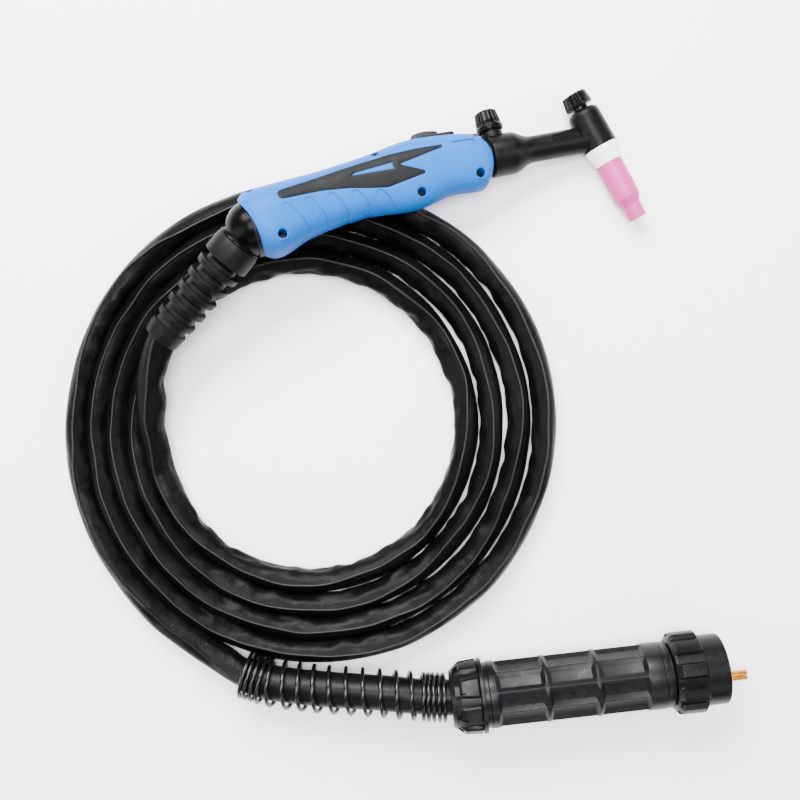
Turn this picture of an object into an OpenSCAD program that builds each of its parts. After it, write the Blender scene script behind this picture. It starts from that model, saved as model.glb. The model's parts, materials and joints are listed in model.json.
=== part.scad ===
// TIG welding torch lying on its side: head, handle, ball knuckle, coiled lead and screw-ring connector.
// +X runs along the torch towards its head, +Y towards the trigger side, +Z up from the bench.
// Origin: centre of the torch's footprint on the bench, lead and connector left out.

/* [Torch pose] */
// Nose-down tilt of the torch, in degrees
torch_tilt = 9.1; // [7:0.1:11]
// Height of the handle's rear end above the bench
rear_height = 55.5; // [52:0.5:60]

/* [Head] */
// Outside diameter of the barrel between handle and head
barrel_d = 19.5; // [17:0.5:21]
// Outside diameter of the neck in front of the handle
neck_d = 30.6; // [28:0.2:32]
// Length of barrel and neck, from the head's axis to the handle
neck_l = 84; // [80:1:90]
// Angle between the barrel and the cup
head_angle = 73.9; // [70:0.1:90]
// Outside diameter of the head at the gasket
head_d = 25.6; // [24:0.2:27]
// Outside diameter of the gas cup
cup_d = 19.6; // [18:0.2:21]
// Length of the gas cup
cup_l = 46.8; // [40:0.2:52]
// Bore of the cup's nose
cup_bore_d = 9.6; // [8:0.1:10]
// Diameter of the tungsten electrode that the collet takes
electrode_d = 2.4; // [1.6:0.8:3.2]
// Outside diameter of the short back cap
back_cap_d = 20.8; // [18:0.2:22]
// Outside diameter of the gas valve's knob
valve_knob_d = 20.2; // [18:0.2:21]

/* [Handle] */
// Length of the handle
handle_l = 184; // [180:1:190]
// Wall thickness of the handle's shells
shell_wall = 2.6; // [2:0.1:3]
// Depth of the soft grip inlay
inlay_t = 1.5; // [1:0.1:2]
// Length of the trigger button
button_l = 20; // [16:0.5:22]
// Travel of the trigger button
button_travel = 1.6; // [1:0.1:2]

/* [Knuckle and boot] */
// Diameter of the knuckle's ball
ball_d = 39; // [36:0.5:40]
// Direction in which the boot leaves the ball, seen from above
boot_heading = 211; // [205:1:215]
// Downward slope of the boot
boot_drop = 9.5; // [8:0.1:11]
// Length of the boot, from its collar to its end
boot_l = 91; // [85:1:95]

/* [Cable] */
// Diameter of the sleeved cable
cable_d = 21; // [19:0.5:22]
// Inner radius of the coil
coil_inner_r = 104; // [100:1:110]
// Outer radius of the coil
coil_outer_r = 189; // [186:1:192]
// Height of the coil
coil_h = 22; // [20:0.5:24]

/* [Connector] */
// Diameter over the housing's raised pads
housing_d = 48.4; // [46:0.2:50]
// Diameter over the lock nut's lobes
nut_d = 59; // [56:0.5:60]
// Number of lobes on the lock nut
nut_lobes = 10; // [8:1:12]
// Diameter of the power pin
power_pin_d = 7.3; // [7:0.1:9]
// Outside diameter of the bend spring
spring_d = 35.5; // [32:0.5:36]
// Wire diameter of the bend spring
spring_wire_d = 3; // [2.5:0.1:3.5]

/* [Hidden] */
$fn = 64;

// Torch frame: x forward from the handle's rear end, y towards the trigger, z out of the side
torch_at = [-139.9, 14.5, rear_height];
// Where the barrel's axis crosses the cup's axis, in the torch frame
head_at = [handle_l + neck_l + 0.4, -0.8, 0];
barrel_slope = -4.5;
cup_slope = barrel_slope - head_angle;
axis_y_at_valve = 5.2;
valve_x = handle_l + 7.2;
stub_r = 11.2;
core_r = 6.4;
tube_r = 4.6;
cup_start = 21;
gasket_start = 8;
// The ball's centre, in the torch frame
ball_at = [3.3, 1, 0];
collar_front = 14;
seat_gap = 0.3;
seat_t = 1.6;
pocket_r = ball_d / 2 + seat_t + 2 * seat_gap;
button_at = [138.6, 0, 0];
trigger_slope = -5.5;
// The coil's centre on the bench
coil_at = [-142, -132, 0];
// The centre of the connector's rear face, its direction and its stations along the axis
conn_at = [-101, -352, 29.6];
conn_slope = -10.5;
cap_l = 24.4;
housing_end = 158.5;
nut_start = 161;
nut_grip_end = 183;
nut_end = 199.5;
pin_end = 217.5;
pin_start = 194.5;
// Turn of the rear cap's lugs about the connector's axis
row_turn = 15;
// The housing's sunk cells: turn about the axis, start of the first column and length of each
cell_turn = 1;
cell_start = 32;
cell_pitch = 37;
pin_offset = 6.8;
pin_stem_r = 3.2;

// Cable route where it isn't coiled: out of the boot and down to the coil's inner turn
lead_in = [
  [-206, -27, 41], [-223, -37, 38], [-236, -53, 34], [-246, -72, 29],
  [-253, -91, 23], [-257, -111, 17], [-259, -132, 13], [-257, -152, 12]
];
// Off the coil's outer turn, through the spring and into the connector
lead_out = [
  [-285, -243, 12], [-272, -260, 13], [-258, -277, 15], [-243, -293, 18], [-226, -304, 20],
  [-208, -312, 22], [-190, -319, 24], [-170, -326, 26], [-150, -333, 28], [-132, -340, 29],
  [-116, -346, 29.5], [-100, -351, 29.7], [-84, -355, 29.7]
];
// Stretch of the route that the sleeve and the spring sit on
spring_route = [for (i = [3 : 11]) lead_out[i]];

// ---- Curves -------------------------------------------------------------------------------------

// Value at x of a smooth curve through [x, value] points
function seg_of(pts, x, i = 0) = (i >= len(pts) - 2 || x < pts[i + 1][0]) ? i : seg_of(pts, x, i + 1);
function slope_at(pts, i) =
  let (a = pts[max(i - 1, 0)], b = pts[min(i + 1, len(pts) - 1)]) (b[1] - a[1]) / (b[0] - a[0]);
function smooth_at(pts, x) =
  let (i = seg_of(pts, x), p = pts[i], q = pts[i + 1], w = q[0] - p[0], t = (x - p[0]) / w)
  (2 * t ^ 3 - 3 * t ^ 2 + 1) * p[1] + (t ^ 3 - 2 * t ^ 2 + t) * w * slope_at(pts, i)
  + (3 * t ^ 2 - 2 * t ^ 3) * q[1] + (t ^ 3 - t ^ 2) * w * slope_at(pts, i + 1);

// Point at parameter s (0 to 1) of a smooth curve through a route's points
function route_at(pts, s) =
  let (n = len(pts) - 1, i = min(floor(s * n), n - 1), t = s * n - i,
       a = pts[max(i - 1, 0)], b = pts[i], c = pts[i + 1], d = pts[min(i + 2, n)])
  0.5 * (2 * b + t * (c - a) + t ^ 2 * (2 * a - 5 * b + 4 * c - d) + t ^ 3 * (3 * b - a - 3 * c + d));
function unit(v) = v / norm(v);
function route_dir(pts, s) = unit(route_at(pts, min(s + 0.01, 1)) - route_at(pts, max(s - 0.01, 0)));
// Side and up directions across a route's direction
function side_of(d) = unit(cross([0, 0, 1], d));
function up_of(d) = cross(d, side_of(d));
// Ring of points of radius r across a route
function ring_at(pts, s, r, sides) =
  let (p = route_at(pts, s), d = route_dir(pts, s), u = side_of(d), v = up_of(d))
  [for (k = [0 : sides - 1]) p + r * (cos(360 * k / sides) * u + sin(360 * k / sides) * v)];

// Side faces of a tube of rings rings, each of sides points
function wall_faces(rings, sides) =
  [for (i = [0 : rings - 2], k = [0 : sides - 1])
    let (k2 = (k + 1) % sides) [i * sides + k, (i + 1) * sides + k, (i + 1) * sides + k2, i * sides + k2]];
// All faces of a tube that is closed at both ends
function tube_faces(rings, sides) = concat(wall_faces(rings, sides),
  [[for (k = [0 : sides - 1]) k]],
  [[for (k = [sides - 1 : -1 : 0]) (rings - 1) * sides + k]]);
// The same, with each end closed by a fan around a point that follows the rings' points
function fan_faces(rings, sides) =
  let (last = (rings - 1) * sides, first_hub = rings * sides)
  concat(wall_faces(rings, sides),
    [for (k = [0 : sides - 1]) [k, (k + 1) % sides, first_hub]],
    [for (k = [0 : sides - 1]) [last + (k + 1) % sides, last + k, first_hub + 1]]);

// Solid tube along a route
module tube_along(pts, r, rings, sides) {
  points = [for (i = [0 : rings - 1]) each ring_at(pts, i / (rings - 1), r, sides)];
  polyhedron(points, tube_faces(rings, sides), convexity = 6);
}

// ---- Placing ------------------------------------------------------------------------------------

// In the torch frame
module on_torch() { translate(torch_at) rotate([0, torch_tilt, 0]) children(); }
// Along the barrel: z runs back from the head's axis towards the handle
module on_barrel() { on_torch() translate(head_at) rotate([0, 0, barrel_slope]) rotate([0, -90, 0]) children(); }
// Along the cup: z runs from the head's centre towards the cup's nose
module on_cup() { on_torch() translate(head_at) rotate([0, 0, cup_slope]) rotate([0, 90, 0]) children(); }
// Along the gas valve: z runs out of the neck
module on_valve() { on_torch() translate([valve_x, 0, 0]) rotate([-90, 0, 0]) children(); }
// On the trigger: z runs out of the handle's top edge
module on_trigger() { on_torch() translate(button_at) rotate([0, 0, trigger_slope]) rotate([-90, 0, 0]) children(); }
// Along the boot: z runs from the ball's centre back along the boot
module on_boot() {
  on_torch() translate(ball_at) rotate([0, -torch_tilt, 0]) rotate([0, boot_drop, boot_heading])
    rotate([0, 90, 0]) children();
}
// Along the connector: z runs from its rear face to its front
module on_connector() { translate(conn_at) rotate([0, 0, conn_slope]) rotate([0, 90, 0]) children(); }

// Round piece with a bore, between two heights
module ring(r_out, r_in, z0, z1) {
  translate([0, 0, z0]) difference() {
    cylinder(r = r_out, h = z1 - z0);
    translate([0, 0, -1]) cylinder(r = r_in, h = z1 - z0 + 2);
  }
}
// Rod between two heights
module rod(r, z0, z1) { translate([0, 0, z0]) cylinder(r = r, h = z1 - z0); }
// O-ring of mean radius r and cord diameter d at a height
module o_ring(r, d, z) { translate([0, 0, z]) rotate_extrude() translate([r, 0]) circle(d = d, $fn = 24); }

// ---- Head ---------------------------------------------------------------------------------------

// Outline of neck and barrel: radius against distance back from the head's axis
module barrel_profile() {
  neck_r = neck_d / 2;
  barrel_r = barrel_d / 2;
  blend = (neck_r - barrel_r) / 2;
  taper = [for (i = [0 : 8]) let (t = i / 8) [barrel_r + blend * (1 - cos(180 * t)), 51 + 17 * t]];
  polygon(concat([[0, 0], [barrel_r, 0]], taper,
    [[neck_r, neck_l - 1], [neck_r - 1, neck_l], [stub_r, neck_l], [stub_r, 118], [0, 118]]));
}
// Outline of the head: a dome at the back and a slight flare to the gasket
module head_profile() {
  top_r = head_d / 2 - 0.9;
  dome = [for (a = [90 : -15 : 0]) [top_r - 7 + 7 * cos(a), -16 - 7 * sin(a)]];
  polygon(concat([[0, -23]], dome, [[head_d / 2, gasket_start - 2], [head_d / 2, gasket_start], [0, gasket_start]]));
}
// Moulded insulating body of head, barrel and neck
module head_body() {
  color([0.09, 0.09, 0.1]) difference() {
    union() {
      on_barrel() rotate_extrude() barrel_profile();
      on_cup() rotate_extrude() head_profile();
      on_valve() rod(8.2, 6, 23);
    }
    on_cup() rod(core_r, -30, 30);
    on_barrel() rod(tube_r, 0, 130);
    on_valve() rod(6, axis_y_at_valve, 30);
    // Shallow stadium recess on the barrel's side
    on_torch() translate([243.8, 4.2, 7.4]) rotate([0, 0, barrel_slope]) linear_extrude(10) union() {
      square([17.4, 6.2], center = true);
      for (side = [-1, 1]) translate([side * 8.7, 0]) circle(d = 6.2);
    }
  }
}
// Brass core that the cap, the collet body and the power tube meet in
module torch_core() {
  color([0.72, 0.55, 0.3]) difference() {
    on_cup() rod(core_r, -21, 7);
    on_cup() rod(4.4, -22, 8);
    on_barrel() rod(tube_r, 0, 20);
  }
}
// Brass tube that carries gas and current from the handle to the core
module power_tube() {
  color([0.75, 0.5, 0.32]) on_barrel() difference() {
    rod(tube_r, 5, 170);
    rod(3, 4, 171);
  }
}
// Copper body that the cup screws on to
module collet_body() {
  color([0.72, 0.45, 0.3]) on_cup() difference() {
    union() {
      rod(4.3, -3, 9);
      rod(8, 9, 12.5);
      rod(6.2, 12.5, 33);
      rod(4.6, 33, 50);
    }
    rod(2.25, -4, 47);
    rod(1.4, 46, 51);
    // Gas ports
    for (a = [0, 90]) translate([0, 0, 38]) rotate([0, 90, a]) rod(0.9, -6, 6);
  }
}
// Slotted copper collet that grips the electrode
module collet() {
  color([0.78, 0.48, 0.33]) on_cup() difference() {
    rod(2.15, -11, 46.5);
    rod(electrode_d / 2, -12, 48);
    translate([-0.2, -4, 30]) cube([0.4, 8, 20]);
  }
}
// White insulating gasket between head and cup
module cup_gasket() {
  color([0.95, 0.95, 0.94]) on_cup() rotate_extrude() polygon([
    [8.1, gasket_start], [head_d / 2, gasket_start], [head_d / 2 - 0.4, gasket_start + 4],
    [cup_d / 2 + 0.2, cup_start - 1], [cup_d / 2 + 0.2, cup_start], [6.4, cup_start],
    [6.4, 12.6], [8.1, 12.6]
  ]);
}
// Pink ceramic gas cup
module gas_cup() {
  r = cup_d / 2;
  end = cup_start + cup_l;
  color([0.9, 0.6, 0.74]) on_cup() rotate_extrude() polygon([
    [6.3, cup_start], [r - 0.6, cup_start], [r, cup_start + 0.6], [r, end - 17], [r - 0.4, end - 15.6],
    [6.9, end - 11], [6.7, end - 1], [6.2, end], [cup_bore_d / 2, end], [cup_bore_d / 2, end - 14],
    [7.6, end - 19], [7.6, 36], [6.3, 34]
  ]);
}
// Short back cap that closes the head and tightens the collet
module back_cap() {
  r = back_cap_d / 2;
  color([0.07, 0.07, 0.08]) on_cup() difference() {
    union() {
      rotate_extrude() polygon([
        [0, -36], [r - 2.4, -36], [r - 1, -34.6], [r, -27], [r - 1, -25.6], [5.8, -25.6], [5.8, -23.2],
        [3.9, -23.2], [3.9, -12], [0, -12]
      ]);
    }
    rod(1.6, -33, -10);
    for (a = [0 : 36 : 324]) rotate([0, 0, a]) translate([r + 0.5, 0, -37]) cylinder(r = 1.6, h = 12, $fn = 24);
  }
}
module cap_o_ring() { color([0.15, 0.15, 0.15]) on_cup() o_ring(4.9, 1.7, -22.3); }

// ---- Gas valve ----------------------------------------------------------------------------------

module valve_seat() { color([0.75, 0.6, 0.3]) on_valve() ring(6, 2.7, axis_y_at_valve + tube_r + 0.6, 22.4); }
module valve_stem() {
  color([0.7, 0.7, 0.7]) on_valve() union() {
    translate([0, 0, 11.4]) cylinder(r1 = 1, r2 = 2.6, h = 2);
    rod(2.6, 13.4, 33);
  }
}
// Fluted knob with a flange at its foot
module valve_knob() {
  r = valve_knob_d / 2;
  color([0.07, 0.07, 0.08]) on_valve() difference() {
    rotate_extrude() polygon([
      [2.6, 33], [2.6, 36.4], [0, 36.4], [0, 39.4], [5.6, 39.3], [7.8, 38.2], [9.4, 31], [r - 0.6, 26.6],
      [r, 26], [r, 24.2], [r - 0.6, 23.6], [8.9, 23.6], [8.9, 25.4], [7, 26.4], [7, 31], [3.4, 31], [3.4, 33]
    ]);
    for (a = [0 : 30 : 330]) rotate([0, 0, a]) translate([9.9, 0, 27.4]) rotate([0, -15, 0])
      cylinder(r = 0.9, h = 11, $fn = 24);
  }
}
module valve_o_ring() { color([0.15, 0.15, 0.15]) on_valve() o_ring(3.6, 1.6, 23.6); }

// ---- Handle -------------------------------------------------------------------------------------

// Side outline of the handle: top edge, bottom edge and half thickness against x
top_edge = [
  [0, 19], [8, 25.4], [24, 26.6], [60, 27.2], [96, 29.4], [125, 32.5], [155, 29.4],
  [handle_l - 8, 25], [handle_l, 19.5]
];
bottom_edge = [
  [0, -19.5], [8, -23.6], [18, -23.4], [42, -16.9], [82, -13.5], [122, -17.6], [150, -14],
  [handle_l - 8, -16], [handle_l, -9]
];
half_thick = [
  [0, 21.8], [8, 23.7], [20, 23.2], [50, 18.4], [90, 16.4], [150, 16.6], [handle_l - 8, 16.6], [handle_l, 13]
];
handle_stations = concat([0, 1.5, 4], [for (x = [8 : 8 : handle_l - 8]) x], [handle_l - 4.5, handle_l - 1.6, handle_l]);
section_power = 2.5;
section_steps = 24;

function signed_pow(v, p) = sign(v) * abs(v) ^ p;
// Point of the handle's surface at station x and angle a, grown by g
function handle_point(x, a, g) =
  let (top = smooth_at(top_edge, x) + g, bottom = smooth_at(bottom_edge, x) - g,
       mid = (top + bottom) / 2, half_h = (top - bottom) / 2, half_t = smooth_at(half_thick, x) + g,
       y = mid + half_h * signed_pow(cos(a), 2 / section_power),
       z = half_t * signed_pow(sin(a), 2 / section_power),
       rear = max(0, 1 - x / 40), front = max(0, (x - 150) / (handle_l - 150)))
  [x - 0.24 * y * rear - 3 * ((y - mid) / half_h) ^ 2 * front ^ 2, y, z];
// Solid of the handle's outer shape grown by g, from the first angle to the last
module handle_loft(g, stations, from_angle, to_angle) {
  n = section_steps * (to_angle - from_angle) / 360;
  closed = (to_angle - from_angle) == 360;
  sides = closed ? n : n + 1;
  function hub(x) = (handle_point(x, from_angle, g) + handle_point(x, from_angle + 180, g)) / 2;
  points = [for (x = stations)
    each [for (k = [0 : sides - 1]) handle_point(x, from_angle + k * 360 / section_steps, g)]];
  hubs = [hub(stations[0]), hub(stations[len(stations) - 1])];
  polyhedron(concat(points, hubs), fan_faces(len(stations), sides), convexity = 6);
}
inner_stations = [for (x = [9 : 9 : 153]) x];
// Screws of the lower edge cross the seam; those of the upper edge are short and angled
cross_screws = [[20.5, -12.6], [125.2, -8.6], [170.5, -6.6]];
edge_screws = [[7.5, 23.3, 12.5, -62], [100.8, 27.2, 9.7, -54], [175.7, 23.4, 8.8, -54]];
module at_edge_screw(p) { translate([p[0], p[1], p[2]]) rotate([p[3], 0, 0]) children(); }

// Outline of the grip inlay, seen from the side
module inlay_outline() {
  rear_end = [for (a = [-90 : -15 : -270]) [28.4 + 3.6 * cos(a), 14 + 3.6 * sin(a)]];
  difference() {
    polygon(concat(rear_end, [
      [52, 19.7], [72, 21.6], [91, 22.6], [110, 23.2], [130, 22.3], [148, 20.4], [149.2, 19],
      [147, 18], [117, 14.3], [131, 5], [130.6, 3.3], [104, 0.5], [100.8, 0.5], [90, 2.9], [75, 6.7],
      [56, 9.6], [42, 10.2]
    ]));
    polygon([[79, 14.9], [82, 16.2], [110.3, 16.9], [110.6, 12.1]]);
  }
}
// Space of the inlay in one shell; side is 1 for the right and -1 for the left
module inlay_space(side) {
  difference() {
    mirror([0, 0, side > 0 ? 0 : 1]) linear_extrude(40) inlay_outline();
    handle_loft(-inlay_t, handle_stations, 0, 360);
  }
}
// Space that the trigger parts take in the top edge
module trigger_space() {
  translate(button_at) rotate([0, 0, trigger_slope]) rotate([-90, 0, 0])
    translate([-11.2, -6.6, 14]) cube([33.4, 13.2, 40]);
}
// The right shell of the handle, with the screw recesses only if heads is true
module handle_shell(heads) {
  difference() {
    union() {
      difference() {
        handle_loft(0, handle_stations, 0, 180);
        handle_loft(-shell_wall, inner_stations, 0, 360);
      }
      // Bosses of the crossing screws
      intersection() {
        handle_loft(-0.4, handle_stations, 0, 180);
        union() { for (p = cross_screws) translate([p[0], p[1], 0]) cylinder(r = 4, h = 40, $fn = 32); }
      }
    }
    translate(ball_at) sphere(r = pocket_r, $fn = 48);
    translate([ball_at[0] - 30, ball_at[1], 0]) rotate([0, 90, 0]) cylinder(r = 19, h = 30);
    translate(head_at) rotate([0, 0, barrel_slope]) rotate([0, -90, 0]) rod(stub_r, 70, 135);
    trigger_space();
    inlay_space(1);
    for (p = cross_screws) translate([p[0], p[1], 0]) {
      rod(1.5, -1, heads ? 5 : 9);
      if (heads) rod(3.3, 5, 40);
    }
    if (heads) for (p = edge_screws) at_edge_screw(p) {
      rod(3, -2, 10);
      rod(1.1, -3.6, 10);
    }
  }
}
module handle_shell_right() { color([0.3, 0.62, 0.95]) on_torch() handle_shell(true); }
module handle_shell_left() { color([0.3, 0.62, 0.95]) on_torch() mirror([0, 0, 1]) handle_shell(false); }
// Soft overmoulded grip inlay, in one shell
module grip_inlay(side) {
  color([0.16, 0.17, 0.18]) on_torch() intersection() {
    inlay_space(side);
    handle_loft(0.2, handle_stations, 0, 360);
  }
}
module grip_inlay_right() { grip_inlay(1); }
module grip_inlay_left() { grip_inlay(-1); }
module handle_screws() {
  color([0.2, 0.2, 0.22]) on_torch() {
    for (p = cross_screws) translate([p[0], p[1], 0]) {
      rod(1.5, -8.5, 5);
      rod(2.7, 5, 7.2);
    }
    for (p = edge_screws) at_edge_screw(p) {
      rod(2.6, -2, -0.9);
      rod(1.1, -3.4, -2);
    }
  }
}

// ---- Trigger ------------------------------------------------------------------------------------

// Base plate that frames the button
module trigger_bezel() {
  color([0.1, 0.1, 0.11]) on_trigger() difference() {
    translate([-11.1, -6.5, 27]) cube([33.1, 13, 5.2]);
    translate([-button_l / 2 - 0.2, -5.2, 20]) cube([button_l + 0.4, 10.4, 20]);
    translate([-button_l / 2 - 0.2, -6.2, 20]) cube([button_l + 0.4, 12.4, 7.4]);
  }
}
// Crowned button with a foot under the plate
module trigger_button() {
  color([0.08, 0.08, 0.09]) on_trigger() union() {
    intersection() {
      translate([-button_l / 2, -5, 27]) cube([button_l, 10, 12]);
      translate([0, 10, 2.2]) rotate([90, 0, 0]) cylinder(r = 33.4, h = 20, $fn = 96);
    }
    translate([-button_l / 2, -6, 25]) cube([button_l, 12, 2.2]);
  }
}
module trigger_spring() {
  color([0.7, 0.7, 0.72]) on_trigger() translate([5, 0, 0]) ring(2.2, 1.5, 22.2, 23.2);
}
module micro_switch() {
  color([0.15, 0.15, 0.16]) on_trigger() {
    translate([-10, -3.2, 15]) cube([20, 6.4, 7]);
    rod(1.2, 22, 24.9 - button_travel);
  }
}
// Two wires from the switch back along the handle
module switch_leads() {
  color([0.6, 0.1, 0.1]) on_torch() for (z = [-9.3, 9.3]) translate([127, 18, z]) rotate([0, -90, 0])
    cylinder(r = 0.9, h = 98, $fn = 16);
}

// ---- Hose inside the handle ---------------------------------------------------------------------

module hose_fitting() {
  color([0.78, 0.6, 0.3]) on_barrel() difference() {
    union() {
      rod(7, 150, 176);
      translate([0, 0, 155]) cylinder(r = 8, h = 9, $fn = 6);
    }
    rod(tube_r, 149, 170.1);
    rod(3, 169, 177);
  }
}
module inner_hose() {
  color([0.1, 0.1, 0.1]) on_barrel() ring(6.5, 3, 176, 236);
}

// ---- Knuckle and boot ---------------------------------------------------------------------------

// Liner that the ball turns in, held in the handle's rear end
module knuckle_seat() {
  color([0.75, 0.75, 0.72]) on_torch() translate(ball_at) difference() {
    sphere(r = ball_d / 2 + seat_gap + seat_t);
    sphere(r = ball_d / 2 + seat_gap);
    translate([-50, -50, -50]) cube([50 - 1, 100, 100]);
    translate([9, -50, -50]) cube([50, 100, 100]);
  }
}
// Hollow glossy ball with the spigot that the boot is pushed on to
module knuckle_ball() {
  color([0.05, 0.05, 0.06]) on_boot() difference() {
    union() {
      sphere(r = ball_d / 2);
      rod(12.95, 8, 29.8);
    }
    rod(9.5, -30, 36);
  }
}
// Rubber boot: plain collar, ribs joined by webs, and a plain end
module strain_relief_boot() {
  end = collar_front + boot_l;
  ribs = 5;
  rib_pitch = 11.7;
  rib_start = collar_front + 22.7;
  rib_w = 5.2;
  color([0.1, 0.1, 0.1]) on_boot() difference() {
    union() {
      rotate_extrude() polygon([
        [13, 15.5], [15.5, collar_front + 1], [17.3, 18], [17.5, 30], [17, 31.5], [12.8, 32], [12.2, 90],
        [13, 93.6], [14.2, 93.8], [13.4, end], [9, end], [9, 16]
      ]);
      for (i = [0 : ribs - 1]) translate([0, 0, rib_start + i * rib_pitch])
        cylinder(r1 = 16.6 - 0.4 * i, r2 = 16.3 - 0.4 * i, h = rib_w);
      // Webs in front of each rib, above and below the boot's axis
      for (i = [0 : ribs]) for (a = [120, 300]) rotate([0, 0, a]) rotate_extrude(angle = 90)
        translate([11, rib_start + i * rib_pitch - 4.2]) square([4.4 - 0.4 * i, 4.5]);
    }
    rod(13, 0, 30);
    rod(9, 26, 80);
    rod(10.8, 78, end + 5);
  }
}

// ---- Cable --------------------------------------------------------------------------------------

module cable_lead_in() { color([0.09, 0.09, 0.1]) tube_along(lead_in, cable_d / 2, 10, 12); }
// Outer shape of the flat coil
module cable_coil() {
  color([0.09, 0.09, 0.1]) translate(coil_at) rotate_extrude($fn = 96) polygon([
    [coil_inner_r + 4, 0], [coil_outer_r - 5, 0], [coil_outer_r, 6], [coil_outer_r, 11],
    [coil_outer_r - 9, coil_h], [coil_inner_r + 5, coil_h], [coil_inner_r, 15], [coil_inner_r, 6]
  ]);
}
module cable_lead_out() { color([0.09, 0.09, 0.1]) tube_along(lead_out, cable_d / 2, 16, 12); }

// ---- Spring and sleeve --------------------------------------------------------------------------

// Smooth tube over the cable inside the spring
module spring_sleeve() {
  rings = 14;
  sides = 16;
  points = concat(
    [for (i = [0 : rings - 1]) each ring_at(spring_route, i / (rings - 1), 13, sides)],
    [for (i = [0 : rings - 1]) each ring_at(spring_route, i / (rings - 1), 11.2, sides)]);
  inner = rings * sides;
  last = (rings - 1) * sides;
  faces = concat(wall_faces(rings, sides),
    [for (f = wall_faces(rings, sides)) [for (k = [3 : -1 : 0]) inner + f[k]]],
    [for (k = [0 : sides - 1]) let (k2 = (k + 1) % sides) [inner + k2, inner + k, k, k2]],
    [for (k = [0 : sides - 1]) let (k2 = (k + 1) % sides) [inner + last + k, inner + last + k2, last + k2, last + k]]);
  color([0.12, 0.12, 0.12]) polyhedron(points, faces, convexity = 8);
}
// Wire of the spring: close turns at both ends and open turns between them
spring_turns = [[0, 0.01], [4, 0.11], [14, 0.84], [18.5, 0.955]];
module bend_spring() {
  steps_per_turn = 12;
  turns = 18.5;
  steps = turns * steps_per_turn;
  mean_r = (spring_d - spring_wire_d) / 2;
  wire_sides = 6;
  function along(t) = lookup(t, spring_turns);
  function wire_at(t) =
    let (s = along(t), d = route_dir(spring_route, s), u = side_of(d), v = up_of(d))
    route_at(spring_route, s) + mean_r * (cos(360 * t) * u + sin(360 * t) * v);
  points = [for (i = [0 : steps]) let (
      t = i / steps_per_turn, p = wire_at(t),
      d = unit(wire_at(min(t + 0.02, turns)) - wire_at(max(t - 0.02, 0))),
      out = unit(p - route_at(spring_route, along(t))), u = unit(out - (out * d) * d), v = cross(d, u))
    each [for (k = [0 : wire_sides - 1])
      p + spring_wire_d / 2 * (cos(360 * k / wire_sides) * u + sin(360 * k / wire_sides) * v)]];
  color([0.12, 0.12, 0.12]) polyhedron(points, tube_faces(steps + 1, wire_sides), convexity = 10);
}

// ---- Connector ----------------------------------------------------------------------------------

// Rear cap with eight lugs
module rear_cap() {
  color([0.14, 0.14, 0.15]) on_connector() difference() {
    union() {
      rotate([0, 0, row_turn + 22.5]) rotate_extrude() polygon([
        [0, 0], [20.5, 0], [22.4, 2], [25.4, 8], [25.8, cap_l - 3], [26.8, cap_l - 2.6], [26.8, cap_l], [0, cap_l]
      ]);
      for (a = [0 : 45 : 315]) rotate([0, 0, a + row_turn]) translate([20, -7, 4.5]) cube([5.4, 14, cap_l - 8]);
    }
    rod(18.2, 4, cap_l + 1);
    rod(14.2, -1, 5);
  }
}
module cable_clamp() { color([0.6, 0.6, 0.62]) on_connector() ring(17.8, cable_d / 2 + 0.1, 6, cap_l - 3); }
// Cutter for one sunk cell: a flat floor, with sloping sides and ends
module cell_cutter() {
  floor_r = 21.1;
  top_r = 25.6;
  low = [3.9, cell_pitch - 3.9];
  high = [-1.5, cell_pitch + 1.5];
  polyhedron(
    [
      [floor_r, -3.6, low[0]], [floor_r, 3.6, low[0]], [floor_r, 3.6, low[1]], [floor_r, -3.6, low[1]],
      [top_r, -12.9, high[0]], [top_r, 12.9, high[0]], [top_r, 12.9, high[1]], [top_r, -12.9, high[1]]
    ],
    [[0, 1, 2, 3], [7, 6, 5, 4], [4, 5, 1, 0], [5, 6, 2, 1], [6, 7, 3, 2], [7, 4, 0, 3]]);
}
// Housing with sunk cells, left between ribs that run along and round it
module connector_housing() {
  columns = 3;
  rows = 10;
  color([0.15, 0.15, 0.16]) on_connector() difference() {
    rod(housing_d / 2 - 0.3, cap_l, housing_end);
    for (c = [0 : columns - 1]) for (i = [0 : rows - 1])
      rotate([0, 0, i * 360 / rows + cell_turn]) translate([0, 0, cell_start + c * cell_pitch]) cell_cutter();
    rod(20, cap_l - 1, housing_end - 4);
    rod(12, housing_end - 5, housing_end + 1);
  }
}
// Collar and neck that keep the lock nut captive
module front_collar() {
  color([0.13, 0.13, 0.14]) on_connector() difference() {
    union() {
      rod(22, housing_end, nut_start - 0.4);
      rod(18.8, nut_start - 1, 172);
      rod(20.8, 168.4, 172);
    }
    rod(12, housing_end - 1, 173);
  }
}
// Lobed lock nut with a smooth skirt; it turns freely on the front collar
module lock_nut() {
  r = nut_d / 2;
  color([0.13, 0.13, 0.14]) on_connector() difference() {
    union() {
      rotate_extrude() polygon([
        [0, nut_start], [r - 4.4, nut_start], [r - 2.6, nut_start + 3], [r - 2.6, nut_grip_end - 2],
        [r - 4.4, nut_grip_end], [25.1, nut_grip_end], [25.1, nut_end - 2.5], [22.8, nut_end], [0, nut_end]
      ]);
      for (i = [0 : nut_lobes - 1]) rotate([0, 0, (i + 0.5) * 360 / nut_lobes])
        translate([r - 6, -5, nut_start + 4]) cube([6 - 0.5, 10, nut_grip_end - nut_start - 5]);
    }
    rod(19.3, nut_start - 1, 169);
    rod(21.4, 168, nut_end + 1);
  }
}
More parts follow.
